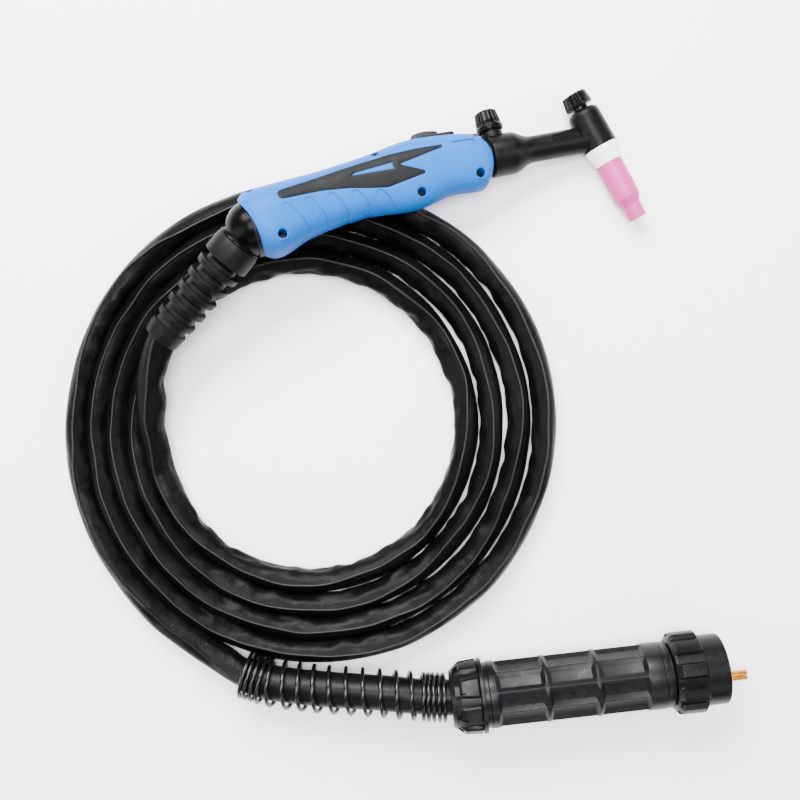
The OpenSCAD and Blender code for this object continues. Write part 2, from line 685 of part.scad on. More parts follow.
// Insulator that carries the pins
module plug_body() {
  color([0.1, 0.1, 0.11]) on_connector() difference() {
    union() {
      rod(11.8, housing_end - 3, 172.2);
      rod(16, 172.2, 194);
    }
    translate([0, -pin_offset, 0]) rod(pin_stem_r, 150, 210);
    translate([0, 7, 0]) rod(2.5, 150, 210);
    for (y = [-2, 2]) translate([y < 0 ? -8 : 8, 3.5, 0]) {
      rod(1.7, 175, 205);
      rod(2.4, 175, 189);
    }
  }
}
// Gilt power pin with a slotted tip and a gas passage
module power_pin() {
  color([0.85, 0.62, 0.2]) on_connector() translate([0, -pin_offset, 0]) difference() {
    union() {
      rod(pin_stem_r, 160, pin_start);
      rod(power_pin_d / 2, pin_start, pin_end - 1);
      translate([0, 0, pin_end - 1]) cylinder(r1 = power_pin_d / 2, r2 = power_pin_d / 2 - 1, h = 1);
    }
    translate([-5, -0.5, pin_end - 9]) cube([10, 1, 12]);
  }
}
module gas_spigot() { color([0.8, 0.62, 0.3]) on_connector() translate([0, 7, 0]) ring(2.5, 1.2, 176, 198.5); }
module gas_o_ring() { color([0.15, 0.15, 0.15]) on_connector() translate([0, 7, 0]) o_ring(3.2, 1.4, 196.4); }
// Two sprung contact pins of the trigger circuit
module control_pins() {
  color([0.82, 0.66, 0.3]) on_connector() for (x = [-8, 8]) translate([x, 3.5, 0]) {
    rod(1.6, 185, 197.5);
    rod(2.3, 182.5, 185);
  }
}

head_body();
torch_core();
power_tube();
collet_body();
collet();
cup_gasket();
gas_cup();
back_cap();
cap_o_ring();
valve_seat();
valve_stem();
valve_knob();
valve_o_ring();
handle_shell_right();
handle_shell_left();
grip_inlay_right();
grip_inlay_left();
handle_screws();
trigger_bezel();
trigger_button();
trigger_spring();
micro_switch();
switch_leads();
hose_fitting();
inner_hose();
knuckle_seat();
knuckle_ball();
strain_relief_boot();
cable_lead_in();
cable_coil();
cable_lead_out();
spring_sleeve();
bend_spring();
rear_cap();
cable_clamp();
connector_housing();
front_collar();
lock_nut();
plug_body();
power_pin();
gas_spigot();
gas_o_ring();
control_pins();
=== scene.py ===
"""TIG welding torch: head, handle, ball knuckle, coiled lead and screw-ring connector."""

import json
from math import asin, ceil, copysign, cos, degrees, exp, pi, radians, sin, sqrt, tan

import bpy
import bmesh
import numpy as np
from mathutils import Matrix, Vector, noise
from mathutils.geometry import delaunay_2d_cdt


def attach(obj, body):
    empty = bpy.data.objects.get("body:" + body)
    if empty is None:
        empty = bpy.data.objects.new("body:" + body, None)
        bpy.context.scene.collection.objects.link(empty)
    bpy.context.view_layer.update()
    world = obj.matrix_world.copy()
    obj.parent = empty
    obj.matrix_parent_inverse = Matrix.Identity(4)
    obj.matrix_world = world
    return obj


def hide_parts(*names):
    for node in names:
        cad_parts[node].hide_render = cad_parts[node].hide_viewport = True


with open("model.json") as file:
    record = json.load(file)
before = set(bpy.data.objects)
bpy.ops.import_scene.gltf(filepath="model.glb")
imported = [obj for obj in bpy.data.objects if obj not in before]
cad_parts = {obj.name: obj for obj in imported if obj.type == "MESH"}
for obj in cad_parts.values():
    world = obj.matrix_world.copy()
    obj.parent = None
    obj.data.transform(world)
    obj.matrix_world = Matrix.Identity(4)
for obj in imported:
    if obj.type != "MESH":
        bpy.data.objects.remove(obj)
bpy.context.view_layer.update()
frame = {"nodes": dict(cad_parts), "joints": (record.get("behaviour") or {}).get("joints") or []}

MM = 0.001
VIEW_ROLL = radians(17)

# ---- Frames ----
# Each frame's z runs along the part's axis; lengths inside a frame are in millimetres.

joints = {j["name"]: j for j in frame["joints"]}


def joint_axis(name):
    return Vector(joints[name]["axis"]).normalized()


def joint_pos(name):
    return Vector(joints[name]["pos_m"])


def frame_of(origin, x, y, z):
    """Matrix from local millimetres to the row frame."""
    m = Matrix((x, y, z)).transposed().to_4x4()
    m.translation = origin
    return m @ Matrix.Scale(MM, 4)


def turned(base, at, *turns):
    """A frame inside another one: moved to a place, then turned by (degrees, axis) steps."""
    m = base @ Matrix.Translation(at)
    for angle, axis in turns:
        m = m @ Matrix.Rotation(radians(angle), 4, axis)
    return m


ROW = Matrix.Scale(MM, 4)
# Ball, head, valve and trigger in the torch's frame; slopes and headings are in degrees
BALL_AT = Vector((3.3, 1, 0))
HEAD_AT = Vector((268.4, -0.8, 0))
BARREL_SLOPE = -4.5
CUP_SLOPE = -78.4
VALVE_X = 191.2
TRIGGER_AT = Vector((138.6, 0, 0))
TRIGGER_SLOPE = -5.5
BOOT_HEADING = 211
BOOT_DROP = 9.5
NUT_STATION = 175

torch_y = joint_axis("valve_turn")
torch_z = (-joint_axis("cap_turn")).cross(torch_y).normalized()
torch_x = torch_y.cross(torch_z)
ball = joint_pos("torch_turn")
TORCH = frame_of(ball, torch_x, torch_y, torch_z) @ Matrix.Translation(-BALL_AT)
BARREL = turned(TORCH, HEAD_AT, (BARREL_SLOPE, "Z"), (-90, "Y"))
CUP = turned(TORCH, HEAD_AT, (CUP_SLOPE, "Z"), (90, "Y"))
VALVE = turned(TORCH, (VALVE_X, 0, 0), (-90, "X"))
TRIGGER = turned(TORCH, TRIGGER_AT, (TRIGGER_SLOPE, "Z"), (-90, "X"))
BOOT = turned(ROW, ball / MM, (BOOT_HEADING, "Z"), (BOOT_DROP, "Y"), (90, "Y"))
conn_z = joint_axis("nut_turn")
conn_x = Vector((0, 0, -1))
conn_at = joint_pos("nut_turn") - conn_z * NUT_STATION * MM
CONNECTOR = frame_of(conn_at, conn_x, conn_z.cross(conn_x), conn_z)

# ---- Mesh helpers ----


def new_object(name, data):
    obj = bpy.data.objects.new(name, data)
    bpy.context.scene.collection.objects.link(obj)
    return obj


def build(name, points, faces, place=ROW, sharp=32):
    """A mesh object from local points, with edges sharper than an angle left sharp."""
    mesh = bpy.data.meshes.new(name)
    mesh.from_pydata([place @ Vector(p) for p in points], [], faces)
    mesh.validate()
    bm = bmesh.new()
    bm.from_mesh(mesh)
    bmesh.ops.remove_doubles(bm, verts=bm.verts, dist=2e-7)
    bmesh.ops.recalc_face_normals(bm, faces=bm.faces)
    bm.to_mesh(mesh)
    bm.free()
    obj = new_object(name, mesh)
    shade(obj, sharp)
    return obj


def shade(obj, sharp):
    obj.data.polygons.foreach_set("use_smooth", [True] * len(obj.data.polygons))
    obj.data.set_sharp_from_angle(angle=radians(sharp))


def modify(obj, kind, **values):
    """Adds a modifier and applies it at once."""
    mod = obj.modifiers.new(kind.title(), kind)
    for key, value in values.items():
        setattr(mod, key, value)
    depsgraph = bpy.context.evaluated_depsgraph_get()
    mesh = bpy.data.meshes.new_from_object(obj.evaluated_get(depsgraph))
    obj.modifiers.clear()
    old = obj.data
    obj.data = mesh
    mesh.name = old.name
    bpy.data.meshes.remove(old)


def cut(obj, cutter, operation="DIFFERENCE"):
    """Cuts one closed mesh with another, which is used up."""
    modify(obj, "BOOLEAN", operation=operation, object=cutter, solver="EXACT")
    bpy.data.objects.remove(cutter)
    return obj


def join(name, objects):
    """One object from several."""
    bm = bmesh.new()
    for o in objects:
        bm.from_mesh(o.data)
        bpy.data.objects.remove(o)
    mesh = bpy.data.meshes.new(name)
    bm.to_mesh(mesh)
    bm.free()
    return new_object(name, mesh)


def fillet(outline, radius, steps=4, closed=False):
    """Rounds the corners of an outline; a point may carry its own radius as a third number."""
    out = []
    n = len(outline)
    for i, p in enumerate(outline):
        r = p[2] if len(p) > 2 else radius
        here = Vector(p[:2])
        if r <= 0 or (not closed and i in (0, n - 1)):
            out.append(tuple(here))
            continue
        back = Vector(outline[i - 1][:2]) - here
        on = Vector(outline[(i + 1) % n][:2]) - here
        angle = back.angle(on)
        if angle > radians(172):
            out.append(tuple(here))
            continue
        reach = min(r / tan(angle / 2), 0.48 * back.length, 0.48 * on.length)
        a = here + back.normalized() * reach
        b = here + on.normalized() * reach
        for k in range(steps + 1):
            t = k / steps
            out.append(tuple(a * (1 - t) ** 2 + here * 2 * t * (1 - t) + b * t ** 2))
    return out


def revolve(name, profile, place, segments=72, closed=False, shift=None, sharp=32):
    """Turns a (radius, height) outline about the frame's z. shift(angle, r, z) may move the radius."""
    points = []
    n = len(profile)
    for k in range(segments):
        angle = 2 * pi * k / segments
        for r, z in profile:
            if shift:
                r = shift(angle, r, z)
            points.append((r * cos(angle), r * sin(angle), z))
    faces = []
    for k in range(segments):
        here, on = k * n, (k + 1) % segments * n
        for i in range(n if closed else n - 1):
            j = (i + 1) % n
            faces.append((here + i, on + i, on + j, here + j))
    return build(name, points, faces, place, sharp)


def skin(name, rings, place=ROW, sharp=32):
    """A closed tube through rings of points."""
    n = len(rings[0])
    points = [p for ring in rings for p in ring]
    faces = []
    for i in range(len(rings) - 1):
        for k in range(n):
            k2 = (k + 1) % n
            faces.append((i * n + k, i * n + k2, (i + 1) * n + k2, (i + 1) * n + k))
    faces += [tuple(range(n)), tuple(range(len(points) - n, len(points)))]
    return build(name, points, faces, place, sharp)


def prism(name, outline, low, high, place):
    """A plate between two heights from a closed outline."""
    return skin(name, [[(x, y, z) for x, y in outline] for z in (low, high)], place)


def box_cutter(name, low, high, place):
    (x0, y0, z0), (x1, y1, z1) = low, high
    return prism(name, [(x0, y0), (x1, y0), (x1, y1), (x0, y1)], z0, z1, place)


def rod(name, r, z0, z1, place, segments=48):
    return revolve(name, [(0, z0), (r, z0), (r, z1), (0, z1)], place, segments)


def drill(obj, place, *bores):
    """Cuts round bores, each given as a radius and two heights."""
    for r, z0, z1 in bores:
        cut(obj, rod("bore", r, z0, z1, place))


def densified(outline, step, closed=True):
    """The same outline with a point about every step."""
    n = len(outline)
    out = []
    for i in range(n if closed else n - 1):
        a, b = Vector(outline[i]), Vector(outline[(i + 1) % n])
        count = max(1, int((b - a).length / step))
        out += [tuple(a.lerp(b, k / count)) for k in range(count)]
    return out if closed else out + [outline[-1]]


def offset_outline(outline, by):
    """A closed outline, running counter-clockwise, moved outwards by a distance."""
    n = len(outline)
    out = []
    for i in range(n):
        a, p, b = (Vector(outline[(i + k) % n][:2]) for k in (-1, 0, 1))
        u, v = (p - a).normalized(), (b - p).normalized()
        normal = Vector((u.y + v.y, -u.x - v.x))
        if normal.length < 1e-6:
            normal = Vector((u.y, -u.x))
        normal.normalize()
        lean = max(0.4, normal.dot(Vector((u.y, -u.x))))
        out.append(tuple(p + normal * by / lean))
    return out


# ---- Curves ----


def seg_of(points, x):
    i = 0
    while i < len(points) - 2 and x >= points[i + 1][0]:
        i += 1
    return i


def slope_at(points, i):
    a, b = points[max(i - 1, 0)], points[min(i + 1, len(points) - 1)]
    return (b[1] - a[1]) / (b[0] - a[0])


def smooth_at(points, x):
    """Value at x of a smooth curve through (x, value) points."""
    i = seg_of(points, x)
    (x0, y0), (x1, y1) = points[i], points[i + 1]
    h = x1 - x0
    t = (x - x0) / h
    m0, m1 = slope_at(points, i) * h, slope_at(points, i + 1) * h
    return ((2 * t**3 - 3 * t**2 + 1) * y0 + (t**3 - 2 * t**2 + t) * m0
            + (3 * t**2 - 2 * t**3) * y1 + (t**3 - t**2) * m1)


def route_at(points, s):
    """Point at s, from 0 to 1, of a smooth route through the points."""
    n = len(points) - 1
    i = min(int(s * n), n - 1)
    t = s * n - i
    a, b, c, d = (Vector(points[min(max(i + k, 0), n)]) for k in (-1, 0, 1, 2))
    return 0.5 * (2 * b + (c - a) * t + (2 * a - 5 * b + 4 * c - d) * t**2 + (3 * b - a - 3 * c + d) * t**3)


def evenly(points, step):
    """The same polyline with a point every step."""
    out = [points[0].copy()]
    left = step
    for a, b in zip(points, points[1:]):
        length = (b - a).length
        at = left
        while at <= length:
            out.append(a.lerp(b, at / length))
            at += step
        left = at - length
    if (out[-1] - points[-1]).length > step * 0.4:
        out.append(points[-1].copy())
    return out


def length_of(points):
    return sum((b - a).length for a, b in zip(points, points[1:]))


def smoothstep(low, high, x):
    t = min(max((x - low) / (high - low), 0.0), 1.0)
    return t * t * (3 - 2 * t)


def wave(x, y=0.0, z=0.0):
    """Smooth noise from -1 to 1 at a place."""
    return noise.noise(Vector((x, y, z)))


# ---- Materials ----

MATERIALS = {}


def material(name, colour, rough, colour_low, mottle, grain=None, creases=None, rough_span=0.08,
             specular=0.5, **shader):
    """Adds a surface whose colour and gloss vary slowly, with fine grain and longer creases as bump.
    mottle is a scale per metre; grain and creases hold a scale per metre, a strength and a depth."""
    mat = bpy.data.materials.new(name)
    mat.use_nodes = True
    nodes, links = mat.node_tree.nodes, mat.node_tree.links
    bsdf = nodes["Principled BSDF"]
    place = nodes.new("ShaderNodeTexCoord").outputs["Object"]

    def node(kind, **inputs):
        new = nodes.new("ShaderNode" + kind)
        for key, value in inputs.items():
            new.inputs[key.replace("_", " ")].default_value = value
        return new

    def noise_at(scale, detail=3.0):
        tex = node("TexNoise", Scale=scale, Detail=detail, Roughness=0.55)
        links.new(place, tex.inputs["Vector"])
        return tex.outputs["Fac"]

    ramp = node("ValToRGB")
    for stop, at, tint in zip(ramp.color_ramp.elements, (0.32, 0.68), (colour_low, colour)):
        stop.position = at
        stop.color = (*tint, 1)
    links.new(noise_at(mottle), ramp.inputs["Fac"])
    links.new(ramp.outputs["Color"], bsdf.inputs["Base Color"])
    gloss = node("MapRange", From_Min=0.3, From_Max=0.7, To_Min=rough - rough_span, To_Max=rough + rough_span)
    links.new(noise_at(mottle * 4), gloss.inputs["Value"])
    links.new(gloss.outputs["Result"], bsdf.inputs["Roughness"])
    normal = None
    for layer in (creases, grain):
        if layer:
            scale, strength, depth = layer
            bump = node("Bump", Strength=strength, Distance=depth)
            links.new(noise_at(scale, 4.0), bump.inputs["Height"])
            if normal:
                links.new(normal, bump.inputs["Normal"])
            normal = bump.outputs["Normal"]
    if normal:
        links.new(normal, bsdf.inputs["Normal"])
    bsdf.inputs["Specular IOR Level"].default_value = specular
    for key, value in shader.items():
        bsdf.inputs[key.replace("_", " ").title()].default_value = value
    MATERIALS[name] = mat


material("cable_sleeve", (0.0022, 0.0023, 0.0026), 0.36, (0.001, 0.001, 0.0012), 22,
         grain=(2600, 0.22, 0.0002), creases=(80, 0.45, 0.002), specular=0.05)
# The seam material's lighter grey is a painted highlight: it stands in for the glint along the sleeve's crest
material("seam", (0.0062, 0.0064, 0.007), 0.36, (0.0034, 0.0035, 0.004), 30, specular=0.2)
material("sleeve_smooth", (0.0026, 0.0026, 0.003), 0.38, (0.0015, 0.0015, 0.0018), 40,
         grain=(2200, 0.2, 0.0002), specular=0.1)
material("body_black", (0.0016, 0.0016, 0.0019), 0.4, (0.001, 0.001, 0.0012), 60,
         grain=(2400, 0.15, 0.0002), specular=0.1)
material("brass", (0.72, 0.55, 0.3), 0.32, (0.6, 0.44, 0.22), 120, metallic=1.0)
material("copper", (0.75, 0.45, 0.3), 0.35, (0.6, 0.33, 0.2), 120, metallic=1.0)
material("ptfe_white", (0.9, 0.9, 0.89), 0.38, (0.84, 0.84, 0.83), 90,
         grain=(1500, 0.05, 0.0001), subsurface_weight=0.1)
material("alumina_pink", (0.46, 0.036, 0.215), 0.42, (0.41, 0.03, 0.185), 110,
         grain=(1800, 0.1, 0.0001), creases=(300, 0.05, 0.0003), specular=0.3)
material("knob_black", (0.0018, 0.0018, 0.0021), 0.25, (0.001, 0.001, 0.0012), 90,
         grain=(2400, 0.12, 0.0001), specular=0.12)
material("seal", (0.02, 0.02, 0.02), 0.6, (0.014, 0.014, 0.014), 200, grain=(3000, 0.2, 0.0001))
material("steel", (0.55, 0.55, 0.56), 0.34, (0.45, 0.45, 0.46), 150, metallic=1.0)
material("handle_blue", (0.0002, 0.094, 0.365), 0.42, (0.0002, 0.086, 0.345), 30,
         grain=(2200, 0.2, 0.0002), creases=(500, 0.05, 0.0004), specular=0.08)
material("grip_soft", (0.0034, 0.0038, 0.0045), 0.52, (0.002, 0.002, 0.0023), 60,
         grain=(1700, 0.4, 0.00025), specular=0.12)
material("screw_dark", (0.006, 0.006, 0.007), 0.32, (0.004, 0.004, 0.005), 300, metallic=0.2, specular=0.2)
material("switch_black", (0.0022, 0.0022, 0.0025), 0.38, (0.0014, 0.0014, 0.0016), 120,
         grain=(2400, 0.2, 0.0002), specular=0.2)
material("wire_red", (0.5, 0.04, 0.04), 0.45, (0.42, 0.03, 0.03), 150)
material("ball_gloss", (0.0012, 0.0012, 0.0015), 0.27, (0.0008, 0.0008, 0.001), 60,
         rough_span=0.01, specular=0.05)
material("liner", (0.0025, 0.0025, 0.0028), 0.5, (0.0018, 0.0018, 0.002), 150, specular=0.15)
material("boot_rubber", (0.0021, 0.0021, 0.0024), 0.46, (0.0012, 0.0012, 0.0015), 90,
         grain=(1500, 0.3, 0.0003), creases=(260, 0.12, 0.0006), specular=0.1)
material("spring_black", (0.0016, 0.0016, 0.0019), 0.22, (0.001, 0.001, 0.0012), 150,
         grain=(2400, 0.08, 0.0001), specular=0.35)
material("connector_grey", (0.0032, 0.0034, 0.004), 0.34, (0.0021, 0.0022, 0.0027), 40,
         grain=(1300, 0.3, 0.0003), specular=0.14)
material("nut_black", (0.0026, 0.0027, 0.0032), 0.34, (0.0018, 0.0018, 0.0022), 60,
         grain=(1500, 0.25, 0.0002), specular=0.1)
material("pin_gold", (0.62, 0.27, 0.035), 0.3, (0.5, 0.2, 0.02), 200, metallic=1.0)


def settle(obj, body, nodes, slot, look=None):
    """Attaches a piece to its body, hides the CAD nodes it replaces, and gives it the material named by look,
    or by slot when no look is named.
    """
    obj.data.materials.clear()
    obj.data.materials.append(MATERIALS[look or slot])
    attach(obj, body)
    if nodes:
        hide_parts(*nodes)


# ---- Camera, lights and floor ----

# Places and lengths here are in metres
CAMERA_AT = (-0.0727, -0.1316, 0.75)
CAMERA_LENS = 44.2
LIGHTS_AIM = (-0.07, -0.13, 0)
WORLD_STRENGTH = 0.2
FLOOR_HALF = 10.0


def studio():
    """Camera, soft lights, a white world and a pale floor."""
    camera = new_object("camera", bpy.data.cameras.new("camera"))
    camera.data.lens = CAMERA_LENS
    camera.data.clip_start = 0.01
    camera.location = CAMERA_AT
    camera.rotation_euler = (0, 0, -VIEW_ROLL)
    bpy.context.scene.camera = camera

    def area(name, at, size, power):
        light = bpy.data.lights.new(name, "AREA")
        light.shape = "RECTANGLE"
        light.size, light.size_y = size
        light.energy = power
        obj = new_object(name, light)
        obj.location = at
        obj.rotation_euler = (Vector(LIGHTS_AIM) - Vector(at)).to_track_quat("-Z", "Y").to_euler()

    area("key", (-0.1, 0.95, 1.1), (1.3, 0.7), 110)
    area("top", (-0.05, -0.05, 1.7), (0.7, 0.7), 50)
    area("left", (-1.2, -0.1, 0.75), (0.6, 1.3), 16)
    area("right", (1.1, -0.3, 0.85), (0.6, 1.2), 20)
    area("front", (-0.1, -1.25, 0.8), (1.3, 0.5), 8)

    world = bpy.data.worlds.new("studio")
    world.use_nodes = True
    sky = world.node_tree.nodes["Background"].inputs
    sky["Color"].default_value = (1, 1, 1, 1)
    sky["Strength"].default_value = WORLD_STRENGTH
    bpy.context.scene.world = world

    corners = [(FLOOR_HALF * x, FLOOR_HALF * y, 0) for x, y in ((-1, -1), (1, -1), (1, 1), (-1, 1))]
    mesh = bpy.data.meshes.new("floor")
    mesh.from_pydata(corners, [], [(0, 1, 2, 3)])
    floor = new_object("floor", mesh)
    look = bpy.data.materials.new("floor")
    look.use_nodes = True
    shader = look.node_tree.nodes["Principled BSDF"]
    shader.inputs["Base Color"].default_value = (0.93, 0.93, 0.935, 1)
    shader.inputs["Roughness"].default_value = 0.6
    floor.data.materials.append(look)


# ---- Cable ----

UNDERSIDE = -10.75
COIL_AT = Vector((-142, -132))
COIL_HEIGHT = 11.2
# The coil's spiral: its nominal start, and the headings where the two loose ends join it, in degrees
COIL_START = 131
COIL_JOIN_IN = 190
COIL_JOIN_OUT = 217.8
COIL_TURNS = 4
COIL_R = 109.5
COIL_PITCH = 17.4
PATH_STEP = 2.4
# Where along the cable the sleeve is drawn tight, and where it is loose again before the far end
TIGHT_FROM, TIGHT_BY = 60, 190
LOOSE_LENGTH = 300
# Bead along the sleeve's crest, drawn in the lighter seam material as a painted highlight of the crest: its
# radius, how deep it sits, and how far past the coil it is seen
CREST_BEAD_R = 0.75
CREST_BEAD_SUNK = 0.5
CREST_BEAD_PAST = 40
LEAD_IN = [
    (-206, -27, 41), (-223, -37, 38), (-236, -53, 34), (-246, -72, 29),
    (-253, -91, 23), (-257, -111, 17), (-259, -132, 13), (-257, -152, 12),
]
LEAD_OUT = [
    (-285, -243, 12), (-272, -260, 13), (-258, -277, 15), (-243, -293, 18), (-226, -304, 20),
    (-208, -312, 22), (-190, -319, 24), (-170, -326, 26), (-150, -333, 28), (-132, -340, 29),
    (-116, -346, 29.5), (-100, -351, 29.7), (-84, -355, 29.7),
]
SPRING_ROUTE = LEAD_OUT[3:12]


def coil_point(heading):
    """The cable's centre in the coil. The turns lie a little closer on one side."""
    turns = (heading - COIL_START) / 360
    a = radians(heading)
    lean = cos(a + VIEW_ROLL)
    r = (COIL_R - 5.4 * lean) + (COIL_PITCH + 2.3 * lean) * turns
    r += 0.9 * wave(0.9 * turns, 4 * cos(a), 4 * sin(a))
    return Vector((COIL_AT.x + r * cos(a), COIL_AT.y + r * sin(a), COIL_HEIGHT))


def cable_path():
    """Centre line of the lead, smoothed where its stretches join."""
    points = [route_at(LEAD_IN, k / 80) for k in range(80)]
    end = COIL_JOIN_OUT + 360 * COIL_TURNS
    steps = 700
    points += [coil_point(COIL_JOIN_IN + (end - COIL_JOIN_IN) * k / steps) for k in range(steps)]
    points += [route_at(LEAD_OUT, k / 140) for k in range(141)]
    path = evenly(points, PATH_STEP)
    for _ in range(3):
        inner = [(a + 2 * b + c) / 4 for a, b, c in zip(path, path[1:], path[2:])]
        path = [path[0]] + inner + [path[-1]]
    return path


# Outline of the cable's section: degrees round from its crest, towards the inside of the bend, and radius
CREST_AT = 82
SECTION = [
    (0, 11.3), (1.5, 11.2), (3.2, 10.85), (5, 10.6), (10, 10.2), (24, 9.5), (48, 8.8), (75, 8.6), (104, 8.8),
    (136, 9.4), (165, 10.3), (203, 10.7), (238, 10.3), (268, 9.1), (300, 8.7), (328, 9.2), (346, 9.9),
    (355, 10.4), (356.8, 10.75), (358.5, 11.2), (360, 11.3)]
SECTION_STEPS = [
    0, 1.5, 3.2, 5, 9, 14, 21, 29, 37, 46, 55, 64, 73, 82, 91, 100, 110, 120, 131, 142, 154, 166, 179, 192,
    205, 218, 231, 244, 256, 268, 280, 291, 302, 312, 321, 329, 336, 343, 350, 355, 356.8, 358.5]
# Folds on the inside just below the boot: place along the cable, width and height
PINCHES = [(54, 7, -1.7), (73, 9, 1.2), (93, 6, -1.7)]


def cable_ring(centre, along, s, tight):
    """Section of the sleeved cable: a broad inner flank and a steep outer one that meet in a crest."""
    inward = Vector((0, 0, 1)).cross(along).normalized()
    up = along.cross(inward).normalized()
    turn = 30 * wave(s / 95, 3.1) + 6 * wave(s / 24, 8.2)
    wide = 1 + 0.2 * (1 - tight)
    ring = []
    for step in SECTION_STEPS:
        r = smooth_at(SECTION, step)
        a = radians(CREST_AT + turn + step)
        c, v = cos(a), sin(a)
        flank = exp(-((step - 82) / 52) ** 2)
        fold = flank * (0.4 + 0.6 * tight) * (
            2.4 * wave(s / 15, 2.2 + sin(a)) + 0.8 * wave(s / 7.5, 7.1 + 2 * sin(a)))
        for at, width, depth in PINCHES:
            fold += flank * depth * exp(-((s - at) / width) ** 2)
        outer = exp(-((step - 315) / 30) ** 2) * 0.5 * wave(s / 30, 4.4)
        soft = 0.4 * wave(s / 26, 1.7 * c, 1.7 * v)
        r += fold + outer + soft
        z = max(r * v, UNDERSIDE)
        ring.append(centre - inward * r * c * wide + up * z)
    return ring


def cable():
    """The sleeved lead as one cord, and a bead along its crest whose lighter grey is a painted highlight."""
    path = cable_path()
    total = length_of(path)
    rings, seam, s = [], [], 0.0
    for i, p in enumerate(path):
        if i:
            s += (p - path[i - 1]).length
        along = (path[min(i + 1, len(path) - 1)] - path[max(i - 1, 0)]).normalized()
        loose = smoothstep(total - LOOSE_LENGTH, total - LOOSE_LENGTH + 60, s)
        rings.append(cable_ring(p, along, s, smoothstep(TIGHT_FROM, TIGHT_BY, s) * (1 - loose)))
        if 6 < s < total - LOOSE_LENGTH + CREST_BEAD_PAST:
            crest = rings[-1][0]
            out = (crest - p).normalized()
            side = along.cross(out)
            seam.append([crest - CREST_BEAD_SUNK * out + CREST_BEAD_R * (cos(a) * out + sin(a) * side)
                         for a in (pi * k / 4 for k in range(8))])
    obj = skin("cable", rings, sharp=180)
    # The crest bead wears the lighter seam material, a painted highlight along the crest
    settle(skin("cable_crest_highlight", seam, sharp=180), "lead", [], "cable_sleeve", "seam")
    settle(obj, "lead", ["cable_lead_in", "cable_coil", "cable_lead_out"], "cable_sleeve")


studio()
cable()

# ---- Handle ----

HANDLE_L = 184
# The handle's side view and half its thickness, each as (station, value)
TOP_EDGE = [
    (0, 19), (8, 25.4), (24, 26.6), (60, 27.2), (96, 29.4), (125, 32.5), (155, 29.4), (176, 25), (184, 19.5)]
BOTTOM_EDGE = [
    (0, -19.5), (8, -23.6), (18, -23.4), (42, -16.9), (82, -13.5), (122, -17.6), (150, -14), (176, -16),
    (184, -9)]
HALF_THICK = [
    (0, 21.8), (8, 23.7), (20, 23.2), (50, 18.4), (90, 16.4), (150, 16.6), (176, 16.6), (184, 13)]
SECTION_POWER = 2.5
# The rear end leans forward at the top, its mouth bows forward at the sides, and the front end is rounded
REAR_LEAN, REAR_SPAN = 0.24, 40
MOUTH_BOW, MOUTH_SPAN = 3.4, 20
FRONT_BOW, FRONT_FROM = 3, 150
END_ROUND = 1.6
# Stations of the shell, closer together at its rounded ends
STATIONS = [0, 0.4, 0.9, 1.5, 2.2, 3] + [3.7 + 0.7 * k for k in range(252)] + [
    180.2, 181, 181.9, 182.7, 183.3, 183.7, 184]
SHELL_WALL = 2.6
POCKET_R = 21.7
STUB_R = 11.2
INLAY_DEPTH = 1.5
INLAY_PROUD = 0.22
INLAY_GAP = 0.12
# The inlay's rounded edge, how far it drops there, and the spacing of points on its top
INLAY_EDGE = 0.8
INLAY_DROP = 0.42
INLAY_GRID = 0.9
TRIANGLE_DEPTH = 0.8
CROSS_SCREWS = [(20.5, -12.6), (125.2, -8.6), (170.5, -6.6)]
# Screws of the upper edge: place and lean
EDGE_SCREWS = [((7.5, 23.3, 12.5), -62), ((100.8, 27.2, 9.7), -54), ((175.7, 23.4, 8.8), -54)]
CROSS_SCREW = {"head_r": 2.75, "low": 5.05, "high": 7.3, "shank_r": 1.5, "tip": -8.5}
EDGE_SCREW = {"head_r": 2.6, "low": -1.95, "high": -0.9, "shank_r": 1.05, "tip": -3.4}
# Outlines in the side view; a third number is the corner's own radius
INLAY_OUTLINE = [
    (52, 19.7), (72, 21.6), (91, 22.6), (110, 23.2), (130, 22.3), (149.3, 20.3, 1.2), (148.6, 18.3, 1),
    (114.6, 14.1, 0.6), (131.6, 5.2, 1.6), (130.6, 3.2, 1), (102.4, 0.3, 2), (90, 2.9), (75, 6.7), (56, 9.6),
    (42, 10.2)] + [
    (28.4 + 3.6 * cos(radians(a)), 14 + 3.6 * sin(radians(a)), 0)
    for a in range(-90, -271, -15)]
INLAY_WEDGE = [(79, 14.9, 0.3), (82, 16.2, 0.3), (110.3, 16.9, 0.5), (109.6, 14.6, 0.4), (110.6, 12.1, 0.4)]
# Each finger groove: its upper end and a place lower down
FINGER_GROOVES = [
    ((28.6, 4.4), (36.4, -12)), ((44.6, 4.8), (52, -14)), ((61.6, 3.8), (68, -14)),
    ((78.6, 1.4), (84, -13)), ((95.6, -2.6), (100, -13))]
FINGER_HALF_W = 2.7
# Depths of the relief: grooves, their outlines, parting line, round the screws, round the inlay
FINGER_DEPTH = 0.5
FINGER_LINE = 0.75
PARTING_DEPTH = 0.4
SCREW_DISH = 0.45
INLAY_GROOVE = 0.4
TRIANGLE = [(155.2, 20.7, 1.4), (174.6, 18.5, 1.8), (163.6, 6.6, 3.4)]


def end_shift(x, y, part):
    """How far the handle's ends step back at a height; part is that height in half sections."""
    rear = max(0.0, 1 - x / REAR_SPAN)
    front = max(0.0, (x - FRONT_FROM) / (HANDLE_L - FRONT_FROM))
    return REAR_LEAN * y * rear + FRONT_BOW * part ** 2 * front ** 2


def middle(x, g):
    """Height of the handle's middle at a station, and half its height there."""
    top, bottom = smooth_at(TOP_EDGE, x) + g, smooth_at(BOTTOM_EDGE, x) - g
    return (top + bottom) / 2, (top - bottom) / 2


